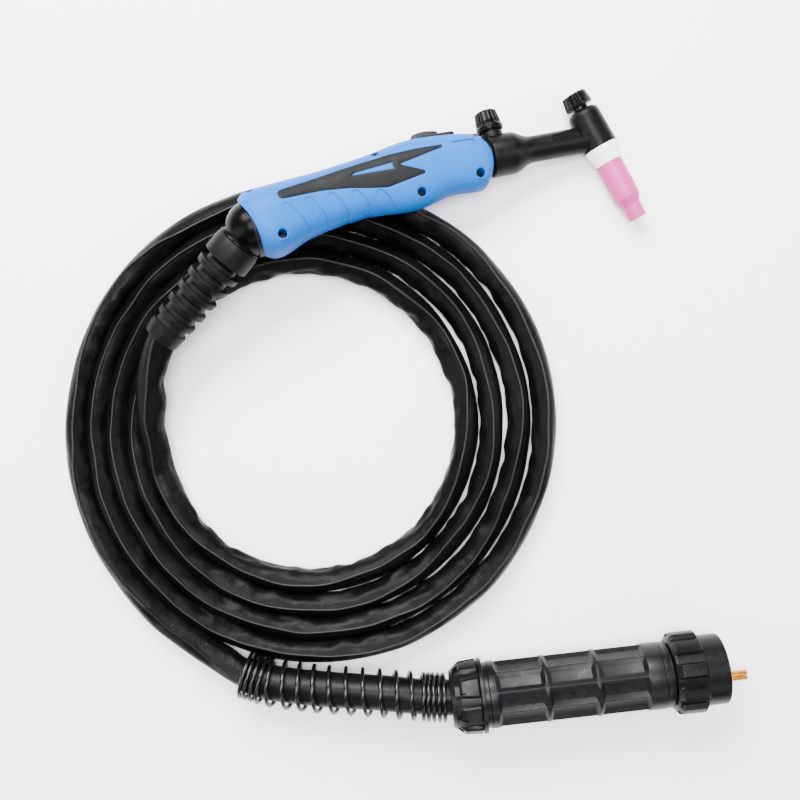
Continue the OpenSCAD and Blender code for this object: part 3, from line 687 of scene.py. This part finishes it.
def handle_point(x, a, g=0.0):
    """Point of the handle's surface at station x and angle a, grown by g, in the torch frame."""
    mid, half_h = middle(x, g)
    half_t = smooth_at(HALF_THICK, x) + g
    power = 2 / SECTION_POWER
    c, v = cos(a), sin(a)
    y = mid + half_h * copysign(abs(c) ** power, c)
    z = half_t * copysign(abs(v) ** power, v)
    bow = MOUTH_BOW * (z / half_t) ** 2 * max(0.0, 1 - x / MOUTH_SPAN) ** 2
    return x + bow - end_shift(x, y, (y - mid) / half_h), y, z


def side_height(px, py, g=0.0):
    """Height of the handle's side over a place in its side view."""
    x = px
    for _ in range(4):
        mid, half_h = middle(x, g)
        part = max(-1.0, min(1.0, (py - mid) / half_h))
        x = px + end_shift(x, py, part)
    high = 1 - abs(part) ** SECTION_POWER
    return (smooth_at(HALF_THICK, x) + g) * max(high, 0.0) ** (1 / SECTION_POWER)


def outline_distance(points, outline):
    """Distance from each point to a closed outline, negative inside it."""
    p = np.asarray(points, float)[:, None, :2]
    a = np.asarray([q[:2] for q in outline], float)[None]
    b = np.roll(a, -1, axis=1)
    t = np.clip(((p - a) * (b - a)).sum(2) / ((b - a) ** 2).sum(2), 0, 1)
    near = np.sqrt((((a + (b - a) * t[..., None]) - p) ** 2).sum(2)).min(1)
    cross = (a[..., 1] > p[..., 1]) != (b[..., 1] > p[..., 1])
    rise = np.where(b[..., 1] == a[..., 1], 1e-9, b[..., 1] - a[..., 1])
    at = a[..., 0] + (p[..., 1] - a[..., 1]) * (b[..., 0] - a[..., 0]) / rise
    inside = (cross & (p[..., 0] < at)).sum(1) % 2 == 1
    return np.where(inside, -near, near)


def ramp_down(x, low, high):
    t = np.clip((x - low) / (high - low), 0, 1)
    return 1 - t * t * (3 - 2 * t)


inlay_line = fillet(INLAY_OUTLINE, 14, 6, closed=True)
wedge_line = fillet(INLAY_WEDGE, 0.5, 3, closed=True)
triangle_line = fillet(TRIANGLE, 2, 6, closed=True)


def handle_relief(points):
    """Depth of the handle's moulded detail at points of its surface."""
    p = np.asarray(points, float)
    depth = PARTING_DEPTH * np.exp(-(p[:, 2] / 0.45) ** 2)
    for (x0, y0), (x1, y1) in FINGER_GROOVES:
        a, d = np.array((x0, y0)), np.array((x1 - x0, y1 - y0))
        t = np.maximum(((p[:, :2] - a) * d).sum(1) / (d ** 2).sum(), 0)
        bow = 1.1 * np.sin(np.clip(t, 0, 1) * pi)
        off = p[:, :2] - a - t[:, None] * d
        off[:, 0] -= bow
        away = np.sqrt((off ** 2).sum(1))
        fade = ramp_down(-p[:, 1], 11, 17)
        depth += FINGER_DEPTH * ramp_down(away, FINGER_HALF_W - 0.4, FINGER_HALF_W + 0.3) * fade
        line = np.exp(-((away - FINGER_HALF_W) / 0.5) ** 2) * np.where(off[:, 0] > 0, 1, 0.4)
        depth += FINGER_LINE * line * fade
    for x, y in CROSS_SCREWS:
        depth += SCREW_DISH * ramp_down(np.hypot(p[:, 0] - x, p[:, 1] - y), 3.1, 4.4)
    for line in (inlay_line, wedge_line):
        depth += INLAY_GROOVE * ramp_down(np.abs(outline_distance(p, line)), 0.1, 1.0)
    return depth


def handle_angles(count):
    """Angles round half of the section that lie evenly along its outline."""
    fine = [pi * k / 2000 for k in range(2001)]
    line = [Vector(handle_point(90, a)[1:]) for a in fine]
    along = [0.0]
    for a, b in zip(line, line[1:]):
        along.append(along[-1] + (b - a).length)
    return [float(np.interp(along[-1] * k / count, along, fine)) for k in range(count + 1)]


def handle_half(name, g, stations, relief=False, whole=False, sign=1):
    """Closed solid of the handle's outer shape, one half of it or all, grown by g."""
    angles = [2 * pi * k / 64 for k in range(64)] if whole else handle_angles(132)
    base = [[handle_point(x, a, g) for a in angles] for x in stations]
    if relief:
        depths = handle_relief([p for ring in base for p in ring]).reshape(len(stations), -1)
        ends = [max(0.0, END_ROUND - x, x - (HANDLE_L - END_ROUND)) / END_ROUND for x in stations]
        ends = [1.3 * (1 - sqrt(1 - e * e)) for e in ends]
        base = [[handle_point(x, a, g - d - e) for a, d in zip(angles, row)]
                for x, row, e in zip(stations, depths, ends)]
    rings = [[(x, y, sign * z) for x, y, z in ring] for ring in base]
    return skin(name, rings, TORCH)


def handle_shell(side):
    """Hollow half of the handle, cut out for ball, head, trigger, screws and soft inlay."""
    sign = 1 if side == "right" else -1
    shell = handle_half("handle_" + side, 0, STATIONS, relief=True, sign=sign)
    cut(shell, handle_half("cavity", -SHELL_WALL, [9 + 9 * k for k in range(17)], whole=True))
    across = [turned(TORCH, (x, y, 0), (0 if sign > 0 else 180, "X")) for x, y in CROSS_SCREWS]
    for (x, y), place in zip(CROSS_SCREWS, across):
        cut(shell, rod("boss", 4, 0.02, side_height(x, y) - 1.2, place), "UNION")
    pocket = [(POCKET_R * sin(a), POCKET_R * cos(a)) for a in (pi * k / 36 for k in range(37))]
    cut(shell, revolve("pocket", pocket, turned(TORCH, BALL_AT), 64))
    cut(shell, rod("mouth", 19, -30, 0, turned(TORCH, BALL_AT, (90, "Y")), 64))
    cut(shell, rod("stub", STUB_R, 70, 135, BARREL, 64))
    cut(shell, box_cutter("trigger_space", (-11.2, -6.6, 14), (22.2, 6.6, 54), TRIGGER))
    for place in across:
        drill(shell, place, (1.55, -1, 9))
        if sign > 0:
            drill(shell, place, (3.3, 5, 40))
    if sign > 0:
        for p, lean in EDGE_SCREWS:
            drill(shell, turned(TORCH, p, (lean, "X")), (3, -2, 10), (1.1, -3.6, 10))
    recess = prism("recess", offset_outline(inlay_line, INLAY_GAP), 0, 40, TORCH)
    cut(recess, prism("island", offset_outline(wedge_line, -INLAY_GAP), -1, 41, TORCH))
    triangle = prism("recess", triangle_line, 0, 40, TORCH)
    for tool, depth in ((recess, INLAY_DEPTH), (triangle, TRIANGLE_DEPTH)):
        if sign < 0:
            tool.data.transform(TORCH @ Matrix.Scale(-1, 4, (0, 0, 1)) @ TORCH.inverted())
            tool.data.flip_normals()
        cut(tool, handle_half("floor", -depth, STATIONS[::3] + [HANDLE_L], whole=True))
        cut(shell, tool)
    shade(shell, 35)
    settle(shell, "torch", ["handle_shell_" + side], "handle_blue")


def grip_inlay(side):
    """Soft pad in the recess: its top follows the handle and has a rounded edge."""
    sign = 1 if side == "right" else -1
    lines = []
    for line, out in ((inlay_line, -1), (wedge_line, 1)):
        line = densified(line, INLAY_EDGE)
        lines += [offset_outline(line, out * part * INLAY_EDGE) for part in (0.0, 0.225, 0.5625, 1.0)]
    points, edges = [], []
    for line in lines:
        first = len(points)
        points += line
        edges += [(first + k, first + (k + 1) % len(line)) for k in range(len(line))]
    grid = [(24 + INLAY_GRID * i, INLAY_GRID * j) for i in range(142) for j in range(28)]
    inner = outline_distance(grid, inlay_line) < -INLAY_EDGE - 0.3
    outer = outline_distance(grid, wedge_line) > INLAY_EDGE + 0.3
    points += [p for p, a, b in zip(grid, inner, outer) if a and b]
    flat, _, faces, *_ = delaunay_2d_cdt([Vector(p) for p in points], edges, [], 0, 1e-4)
    flat = [tuple(p) for p in flat]
    middles = [tuple(sum(flat[i][k] for i in f) / 3 for k in (0, 1)) for f in faces]
    keep = (outline_distance(middles, inlay_line) < 0) & (outline_distance(middles, wedge_line) > 0)
    faces = [f for f, ok in zip(faces, keep) if ok]
    edge = np.minimum(-outline_distance(flat, inlay_line), outline_distance(flat, wedge_line))
    top = []
    for (x, y), d in zip(flat, edge):
        g = INLAY_PROUD - INLAY_DROP * (1 - min(max(d, 0.0) / INLAY_EDGE, 1.0)) ** 2.2
        top.append((x, y, sign * side_height(x, y, g)))
    low = [(x, y, sign * side_height(x, y, 0.1 - INLAY_DEPTH)) for x, y in flat]
    count = len(top)
    rim = {}
    for f in faces:
        for a, b in zip(f, f[1:] + f[:1]):
            rim[(a, b)] = rim.get((a, b), 0) + 1
    walls = [(a, b, b + count, a + count) for a, b in rim if (b, a) not in rim]
    under = [tuple(i + count for i in reversed(f)) for f in faces]
    pad = build("inlay_" + side, top + low, [tuple(f) for f in faces] + under + walls, TORCH, 50)
    bm = bmesh.new()
    bm.from_mesh(pad.data)
    bmesh.ops.delete(bm, geom=[v for v in bm.verts if not v.link_faces], context="VERTS")
    bm.to_mesh(pad.data)
    bm.free()
    settle(pad, "torch", ["grip_inlay_" + side], "grip_soft")


def screw(place, head_r, low, high, shank_r, tip):
    """Cap screw with a rounded head and a hexagon socket."""
    outline = [(0, tip), (shank_r, tip), (shank_r, low), (head_r, low), (head_r, high, 0.35), (0, high)]
    body = revolve("screw", fillet(outline, 0.15, 3), place, 48)
    socket_r = 0.55 * head_r
    socket = [(socket_r * cos(a), socket_r * sin(a)) for a in (pi * k / 3 for k in range(6))]
    return cut(body, prism("socket", socket, high - 1.1, high + 1, place))


def handle_screws():
    parts = [screw(turned(TORCH, (x, y, 0)), **CROSS_SCREW) for x, y in CROSS_SCREWS]
    parts += [screw(turned(TORCH, p, (lean, "X")), **EDGE_SCREW) for p, lean in EDGE_SCREWS]
    obj = join("handle_screw_set", parts)
    shade(obj, 32)
    settle(obj, "torch", ["handle_screws"], "screw_dark")


# ---- Trigger ----

BUTTON_L = 20
BUTTON_ARC = 33.4
BEZEL_BACK = -11.1
BEZEL_FRONT = 22


def arc_top(x, y):
    """Height of the button's crowned top."""
    return 2.2 + sqrt(BUTTON_ARC ** 2 - x ** 2) - 0.010 * y ** 2


def rounded_box(name, x0, x1, half_w, low, high, corner, edge, place, height=None):
    """Plate with rounded corners and a rounded upper edge; height(x, y) may shape its top."""
    corners = [(x0, -half_w), (x1, -half_w), (x1, half_w), (x0, half_w)]
    outline = densified(fillet(corners, corner, 6, closed=True), 1.2)
    rings = [[(x, y, low) for x, y in outline]]
    spans = [(0.0, edge)] + [(edge * (1 - cos(a)), edge * (1 - sin(a)))
                             for a in (radians(22.5 * k) for k in range(1, 5))]
    loops = [offset_outline(outline, -inset) if inset else outline for inset, _ in spans]
    drops = [drop for _, drop in spans]
    last = loops[-1]
    for part in (0.25, 0.5, 0.75):
        loops.append([tuple(Vector(p).lerp(Vector((p[0], 0)), part)) for p in last])
        drops.append(0.0)
    for loop, drop in zip(loops, drops):
        rings.append([(x, y, (height(x, y) if height else high) - drop) for x, y in loop])
    return skin(name, rings, place, 40)


def trigger():
    """Frame of the trigger, and the crowned key inside it."""
    bezel = rounded_box("trigger_frame", BEZEL_BACK, BEZEL_FRONT, 6.5, 27, 32.2, 4.2, 0.9, TRIGGER)
    cut(bezel, rounded_box("hole", -10.2, 10.2, 5.2, 20, 40, 2.6, 0.01, TRIGGER))
    cut(bezel, rounded_box("hole", -10.2, 10.2, 6.2, 20, 27.4, 1, 0.01, TRIGGER))
    shade(bezel, 35)
    settle(bezel, "torch", ["trigger_bezel"], "switch_black")
    button = rounded_box("trigger_key", -BUTTON_L / 2, BUTTON_L / 2, 5, 27, 36, 2.4, 1.1, TRIGGER, arc_top)
    foot = rounded_box("foot", -BUTTON_L / 2, BUTTON_L / 2, 6, 25, 27.2, 0.8, 0.2, TRIGGER)
    cut(button, foot, "UNION")
    shade(button, 35)
    settle(button, "trigger", ["trigger_button"], "switch_black")


# ---- Head ----

HEAD_R = 12.8
GASKET_START = 8
CUP_START = 21
CUP_END = 67.8
CUP_R = 9.8
CUP_BORE_R = 4.8
BARREL_R = 9.75
NECK_R = 15.3
NECK_L = 84


def head():
    """Moulded head and neck, gasket and ceramic cup."""
    blend = (NECK_R - BARREL_R) / 2
    taper = [(BARREL_R + blend * (1 - cos(pi * k / 12)), 51 + 17 * k / 12) for k in range(13)]
    neck = [(0, 0), (BARREL_R, 0)] + [(p[0], p[1], 0) for p in taper] + [
        (NECK_R, NECK_L - 0.2, 1.2), (STUB_R, NECK_L - 0.2), (STUB_R, 118), (0, 118)]
    body = revolve("head_moulding", fillet(neck, 0.6, 4), BARREL, 96)
    dome = [(0, -23), (HEAD_R - 0.9, -23, 7), (HEAD_R - 0.4, -8, 0), (HEAD_R, GASKET_START, 0.4),
            (0, GASKET_START)]
    cut(body, revolve("dome", fillet(dome, 0.4, 10), CUP, 96), "UNION")
    boss = fillet([(0, 4), (10.4, 4), (9.4, 13), (8.5, 17), (8.2, 23, 0.8), (0, 23)], 1.5, 5)
    cut(body, revolve("boss", boss, VALVE, 64), "UNION")
    drill(body, CUP, (6.4, -30, 30))
    drill(body, BARREL, (4.6, 0, 130))
    drill(body, VALVE, (6, 5.2, 30))
    recess = fillet([(-11.8, -3.1), (11.8, -3.1), (11.8, 3.1), (-11.8, 3.1)], 3.05, 8, closed=True)
    cut(body, prism("recess", recess, 6.9, 18, turned(TORCH, (243.8, 4.2, 0), (BARREL_SLOPE, "Z"))))
    shade(body, 38)
    settle(body, "torch", ["head_body"], "body_black")

    gasket = fillet([
        (8.1, GASKET_START), (HEAD_R, GASKET_START, 0.5), (HEAD_R - 0.4, GASKET_START + 4, 3),
        (CUP_R + 0.2, CUP_START - 1, 1), (CUP_R + 0.2, CUP_START, 0.3), (6.4, CUP_START), (6.4, 12.6),
        (8.1, 12.6)], 0.2, 5, closed=True)
    settle(revolve("gasket", gasket, CUP, 96, closed=True), "torch", ["cup_gasket"], "ptfe_white")
    cup = fillet([
        (6.3, CUP_START), (CUP_R, CUP_START, 0.7), (CUP_R + 0.05, CUP_END - 17, 1.5), (6.9, CUP_END - 11, 3),
        (6.75, CUP_END, 0.8), (CUP_BORE_R, CUP_END, 0.6), (CUP_BORE_R, CUP_END - 14, 1),
        (7.6, CUP_END - 19, 1), (7.6, 36), (6.3, 34)], 0.2, 6, closed=True)
    settle(revolve("ceramic_cup", cup, CUP, 96, closed=True), "torch", ["gas_cup"], "alumina_pink")


def fluted(count, depth, low, high, width):
    """Cuts round flutes between two heights; width is a part of each flute's share."""
    def shift(angle, r, z):
        if r < 7 or not low < z < high:
            return r
        phase = (angle * count / (2 * pi)) % 1
        flute = max(0.0, 1 - (abs(phase - 0.5) / (width / 2)) ** 2)
        ends = smoothstep(low, low + 1.2, z) * (1 - smoothstep(high - 1.2, high, z))
        return r - depth * flute * ends
    return shift


def knobs():
    """Fluted valve knob and fluted back cap."""
    r = 10.1
    outline = fillet([
        (2.6, 33), (2.6, 36.4), (0, 36.4), (0, 39.4), (5.4, 39.4, 4), (8.2, 38.1, 2.4), (9.3, 31, 2),
        (9.4, 27.6, 0.6), (r, 27.0, 0.5), (r, 24.2, 0.6), (r - 0.6, 23.6, 0.4), (8.9, 23.6), (8.9, 25.4),
        (7, 26.4), (7, 31), (3.4, 31), (3.4, 33)], 0.2, 6, closed=True)
    knob = revolve("valve_cap", densified(outline, 0.5), VALVE, 216, closed=True,
                   shift=fluted(12, 0.9, 27.8, 38.4, 0.42))
    settle(knob, "valve", ["valve_knob"], "knob_black")

    r = 10.4
    outline = fillet([
        (0, -36), (r - 1.2, -36, 1.3), (r, -27.4, 2), (r - 0.4, -25.6, 0.5), (5.8, -25.6), (5.8, -23.2),
        (3.9, -23.2), (3.9, -12), (1.6, -12), (1.6, -33), (0, -33)], 0.3, 5)
    cap = revolve("short_cap", densified(outline, 0.5, closed=False), CUP, 200,
                  shift=fluted(10, 1.3, -37.5, -24.6, 0.46))
    settle(cap, "cap", ["back_cap"], "knob_black")


# ---- Knuckle and boot ----

BALL_R = 19.5
HOSE_R = 9.5
COLLAR_START = 14.6
CORE_R = 12
TAIL_START = 94
BOOT_END = 105
RIBS = 5
RIB_START = 36.7
RIB_PITCH = 11.7
RIB_W = 5.2
RIB_R = 16.6
# The webs between ribs: the middle of each and its half width in degrees, their length and radius
WEB_ANGLES = (165, 345)
WEB_SPREAD = 44
WEB_L = 4.0
WEB_R = 14.7
# Each rib and web is smaller than the one before it by this much
RIB_STEP = 0.42


def knuckle():
    """Glossy hollow ball that runs into a cone and a lip in front of the boot's collar."""
    mouth = asin(HOSE_R / BALL_R)
    neck = asin(15.6 / BALL_R)
    arc = [(BALL_R * sin(a), BALL_R * cos(a), 0)
           for a in (neck + (pi - mouth - neck) * k / 48 for k in range(49))]
    tail = arc[-1][1]
    lip = [(13, 30), (13, 15, 0), (16.1, 15, 0), (16.7, 14.4, 0.3), (16.4, 13, 0.5), (15.5, 12.8, 0.5)]
    outline = fillet(lip + arc + [(HOSE_R, tail), (HOSE_R, 30)], 0, closed=True)
    settle(revolve("knuckle", outline, BOOT, 128, closed=True), "lead", ["knuckle_ball"], "ball_gloss")


def boot():
    """Rubber boot: a plain collar, ribs joined by webs on two sides, and a plain end."""
    outline = [
        (9, 20), (13, 20), (13, COLLAR_START), (15.9, COLLAR_START), (16.5, 15.1), (17.2, 18), (17.4, 29.8),
        (17.2, 30.7), (16.5, 31.2), (12.6, 31.4), (12.2, 31.7)]
    for i in range(RIBS + 1):
        r = RIB_R - RIB_STEP * i
        z = RIB_START + RIB_PITCH * i
        outline += [(CORE_R, z - WEB_L + up) for up in (-0.3, 0, 0.5, 2.4)]
        if i < RIBS:
            outline += [(12.1, z), (r - 0.5, z), (r, z + 0.4), (r + 0.1, z + 1.2), (r - 0.2, z + RIB_W - 0.6),
                        (r - 0.6, z + RIB_W - 0.1), (12.1, z + RIB_W), (CORE_R, z + RIB_W + 0.4)]
    outline += [(12.1, TAIL_START), (13.7, TAIL_START), (14.2, TAIL_START + 0.5), (14, 99), (13.6, 104.2),
                (13.1, BOOT_END), (10.8, BOOT_END), (10.8, 78), (9, 78)]

    def webs(angle, r, z):
        """Raises the core to a web in front of each rib, on two sides."""
        part = (z - RIB_START) / RIB_PITCH
        i = ceil(part - 1e-6)
        left = RIB_START + RIB_PITCH * i - z
        on_core = abs(r - CORE_R) <= 0.11 and z <= TAIL_START + 0.05
        if not 0 <= i <= RIBS or not on_core or left > WEB_L + 0.01:
            return r
        off = min(abs((degrees(angle) - w + 180) % 360 - 180) for w in WEB_ANGLES)
        top = WEB_R - RIB_STEP * i - (0.5 if left > WEB_L - 0.2 else 0)
        return r + (top - r) * (1 - smoothstep(WEB_SPREAD - 1.6, WEB_SPREAD + 1.6, off))

    body = revolve("strain_boot", outline, BOOT, 192, closed=True, shift=webs)
    shade(body, 34)
    settle(body, "lead", ["strain_relief_boot"], "boot_rubber")


# ---- Spring and sleeve ----

LINER_R = 12.75
SPRING_R = 16.25
WIRE_R = 1.5
# Turns of the spring counted from its start, and how far along its route they stand, from 0 to 1
SPRING_TURNS = [(0, 0.01), (4, 0.11), (14, 0.84), (18.5, 0.955)]
STEPS_PER_TURN = 40
WIRE_SIDES = 12


def route_frame(s):
    """Centre, heading, side and up of the spring's route at s."""
    along = (route_at(SPRING_ROUTE, min(s + 0.01, 1)) - route_at(SPRING_ROUTE, max(s - 0.01, 0))).normalized()
    side = Vector((0, 0, 1)).cross(along).normalized()
    return route_at(SPRING_ROUTE, s), along, side, along.cross(side)


def sleeve():
    """Smooth sleeve inside the spring, with a narrow seam along it."""
    rings = []
    for k in range(91):
        s = k / 90
        centre, along, side, up = route_frame(s)
        ring = []
        for j in range(40):
            a = 2 * pi * j / 40
            seam = 0.35 * exp(-abs((a - 1.2 + pi) % (2 * pi) - pi) / 0.09)
            r = LINER_R + seam + 0.25 * wave(s * 9, 2 * cos(a), 2 * sin(a))
            ring.append(centre + side * r * cos(a) + up * r * sin(a))
        rings.append(ring)
    settle(skin("spring_liner", rings, sharp=180), "lead", ["spring_sleeve"], "cable_sleeve", "sleeve_smooth")


def spring_station(t):
    """How far along the route the spring stands after t turns."""
    return float(np.interp(t, *zip(*SPRING_TURNS)))


def spring():
    """Round wire, with close turns at both ends and open turns between them."""
    turns = SPRING_TURNS[-1][0]

    def wire_at(t):
        t = min(max(t, 0.0), turns)
        centre, _, side, up = route_frame(spring_station(t))
        angle = 2 * pi * t
        return centre + SPRING_R * (cos(angle) * side + sin(angle) * up), centre

    rings = []
    for k in range(int(turns * STEPS_PER_TURN) + 1):
        t = k / STEPS_PER_TURN
        p, centre = wire_at(t)
        along = (wire_at(t + 0.01)[0] - wire_at(t - 0.01)[0]).normalized()
        out = p - centre
        out = (out - along * out.dot(along)).normalized()
        across = along.cross(out)
        rings.append([p + WIRE_R * (cos(a) * out + sin(a) * across)
                      for a in (2 * pi * j / WIRE_SIDES for j in range(WIRE_SIDES))])
    settle(skin("coil_spring", rings, sharp=60), "lead", ["bend_spring"], "spring_black")


# ---- Connector ----

CAP_L = 24.4
HOUSING_END = 158.5
HOUSING_R = 23.9
CELL_ROWS = 10
CELL_COLUMNS = 3
CELL_START = 32
CELL_PITCH = 37
CELL_TURN = 1
LUGS = 8
LUG_TURN = 15
NUT_START = 161
NUT_GRIP_END = 183
NUT_END = 199.5
NUT_R = 29.5
NUT_SKIRT_R = 25.1
NUT_VALLEY_R = NUT_R - 3.3
NUT_LOBES = 10
PIN_END = 217.5
PIN_OFFSET = 6.8
PIN_R = 3.65
PIN_STEM_R = 3.2
PIN_START = 194.5


def outward(angle):
    """A frame at the connector's start whose z points outwards."""
    return turned(CONNECTOR, (0, 0, 0), (angle, "Z"), (90, "Y"))


def rear_cap():
    """Rear cap with a ring of lugs, each with a window and a slit."""
    outline = fillet([
        (14.2, 0), (19.8, 0, 0.8), (21.6, 2.4, 1), (23.6, 7, 2), (24.2, CAP_L - 3.4, 0.5),
        (26.9, CAP_L - 3, 0.5), (26.9, CAP_L, 0.5), (18.2, CAP_L), (18.2, 4), (14.2, 4)], 0.3, 4, closed=True)
    cap = revolve("rear_cap_shell", outline, CONNECTOR, 128, closed=True)
    for k in range(LUGS):
        place = outward(360 / LUGS * k + LUG_TURN)
        lug = [
            [(-3.4, -6.4, 19), (-3.4, 6.4, 19), (-20.6, 7.4, 19), (-20.6, -7.4, 19)],
            [(-3.4, -6.2, 21.6), (-3.4, 6.2, 21.6), (-20.6, 7.3, 24.6), (-20.6, -7.3, 24.6)],
            [(-8.2, -5.2, 25.5), (-8.2, 5.2, 25.5), (-20.2, 6.1, 26.2), (-20.2, -6.1, 26.2)],
        ]
        piece = skin("lug", lug, place)
        modify(piece, "BEVEL", width=0.5 * MM, segments=2, limit_method="ANGLE")
        cut(cap, piece, "UNION")
        cut(cap, box_cutter("window", (-6.6, -4, 19.6), (-3, 4, 26), place))
        cut(cap, box_cutter("slit", (-10.8, 3.2, 22.6), (-5.4, 4.2, 28), place))
    shade(cap, 34)
    settle(cap, "lead", ["rear_cap"], "connector_grey")


def cell(place, start):
    """Cutter for a sunk cell: a flat floor with sloping sides and ends."""
    rings = []
    for height, half_w, inset in ((21.1, 3.6, 3.9), (21.4, 4.1, 3.5), (25.6, 12.9, -1.5)):
        a, b = -start - inset, -start - CELL_PITCH + inset
        rings.append([(a, -half_w, height), (a, half_w, height), (b, half_w, height), (b, -half_w, height)])
    return skin("cell", rings, place)


def housing():
    """Housing with sunk cells between its ribs."""
    outline = fillet([
        (20, CAP_L - 0.5), (HOUSING_R - 0.6, CAP_L - 0.5), (HOUSING_R - 0.6, 27.4, 0.4), (HOUSING_R, 28, 0.4),
        (HOUSING_R, 153.4, 0.3), (HOUSING_R - 0.7, 154, 0.3), (HOUSING_R - 0.3, 154.6, 0.3),
        (HOUSING_R - 0.5, HOUSING_END - 0.1, 0.8), (12, HOUSING_END - 0.1),
        (12, HOUSING_END - 4), (20, HOUSING_END - 4)], 0.3, 4, closed=True)
    body = revolve("housing", outline, CONNECTOR, 160, closed=True)
    for column in range(CELL_COLUMNS):
        for k in range(CELL_ROWS):
            place = outward(360 / CELL_ROWS * k + CELL_TURN)
            cut(body, cell(place, CELL_START + CELL_PITCH * column))
    modify(body, "BEVEL", width=0.25 * MM, segments=2, limit_method="ANGLE")
    shade(body, 26)
    settle(body, "lead", ["connector_housing"], "connector_grey")


def collar():
    """Ring between the housing and the nut."""
    outline = fillet([
        (12, HOUSING_END), (22, HOUSING_END, 0.6), (22, NUT_START - 0.4, 0.6), (18.8, NUT_START - 0.4),
        (18.8, 168.4), (20.8, 168.4), (20.8, 172), (12, 172)], 0.3, 4, closed=True)
    settle(revolve("nut_collar", outline, CONNECTOR, 96, closed=True), "lead", ["front_collar"], "nut_black")


def lock_nut():
    """Lobed nut with a plain skirt."""
    outline = fillet([
        (19.3, NUT_START), (NUT_R - 4.6, NUT_START, 0.6), (NUT_R, NUT_START + 3.6, 1.0),
        (NUT_R, NUT_GRIP_END - 1.6, 0.8), (NUT_R - 2.6, NUT_GRIP_END, 0.6), (NUT_SKIRT_R, NUT_GRIP_END, 0.4),
        (NUT_SKIRT_R, NUT_END, 2.4), (21.4, NUT_END, 0.6), (21.4, 169), (19.3, 169)], 0.3, 5, closed=True)

    def lobes(angle, r, z):
        """Lowers the radius between the lobes."""
        if r <= NUT_SKIRT_R + 0.1 or z > NUT_GRIP_END + 0.1:
            return r
        phase = abs((angle * NUT_LOBES / (2 * pi)) % 1 - 0.5) * 2
        return r - smoothstep(0.44, 0.66, phase) * max(0.0, r - NUT_VALLEY_R)

    nut = revolve("lock_ring", densified(outline, 1.0), CONNECTOR, 400, closed=True, shift=lobes, sharp=28)
    settle(nut, "lock_nut", ["lock_nut"], "nut_black")


def plug():
    """Insulator with its bores, and the slotted contact pin beside its middle."""
    outline = [(0, 155.5), (11.8, 155.5), (11.8, 172.2), (16, 172.2), (16, 194, 0.8), (0, 194)]
    body = revolve("insulator", fillet(outline, 0.3, 4), CONNECTOR, 96)
    place = turned(CONNECTOR, (0, -PIN_OFFSET, 0))
    drill(body, place, (PIN_STEM_R, 150, 210))
    drill(body, turned(CONNECTOR, (0, 7, 0)), (2.5, 150, 210))
    for x in (-8, 8):
        drill(body, turned(CONNECTOR, (x, 3.5, 0)), (1.7, 175, 205), (2.4, 175, 189))
    shade(body, 34)
    settle(body, "lead", ["plug_body"], "body_black")

    outline = [(0, 160), (PIN_STEM_R, 160), (PIN_STEM_R, PIN_START), (PIN_R, PIN_START),
               (PIN_R, PIN_END, 1.0), (0, PIN_END)]
    pin = revolve("contact_pin", fillet(outline, 0.15, 5), place, 96)
    cut(pin, box_cutter("slot", (-5, -0.5, PIN_END - 9), (5, 0.5, PIN_END + 3), place))
    drill(pin, place, (1.5, PIN_END - 8, PIN_END + 3))
    low, high, inner, outer = PIN_END - 13, PIN_END - 12, PIN_R - 0.35, PIN_R + 1
    groove = [(inner, low), (outer, low), (outer, high), (inner, high)]
    cut(pin, revolve("groove", groove, place, 64, closed=True))
    shade(pin, 34)
    settle(pin, "lead", ["power_pin"], "pin_gold")


for build_sided in (handle_shell, grip_inlay):
    for each_side in ("right", "left"):
        build_sided(each_side)
for build_piece in (handle_screws, trigger, head, knobs, knuckle, boot, sleeve, spring, rear_cap, housing,
                    collar, lock_nut, plug):
    build_piece()

# The CAD nodes carry the names of their materials
for node in frame["nodes"].values():
    node.data.materials[0] = MATERIALS[node.data.materials[0].name]
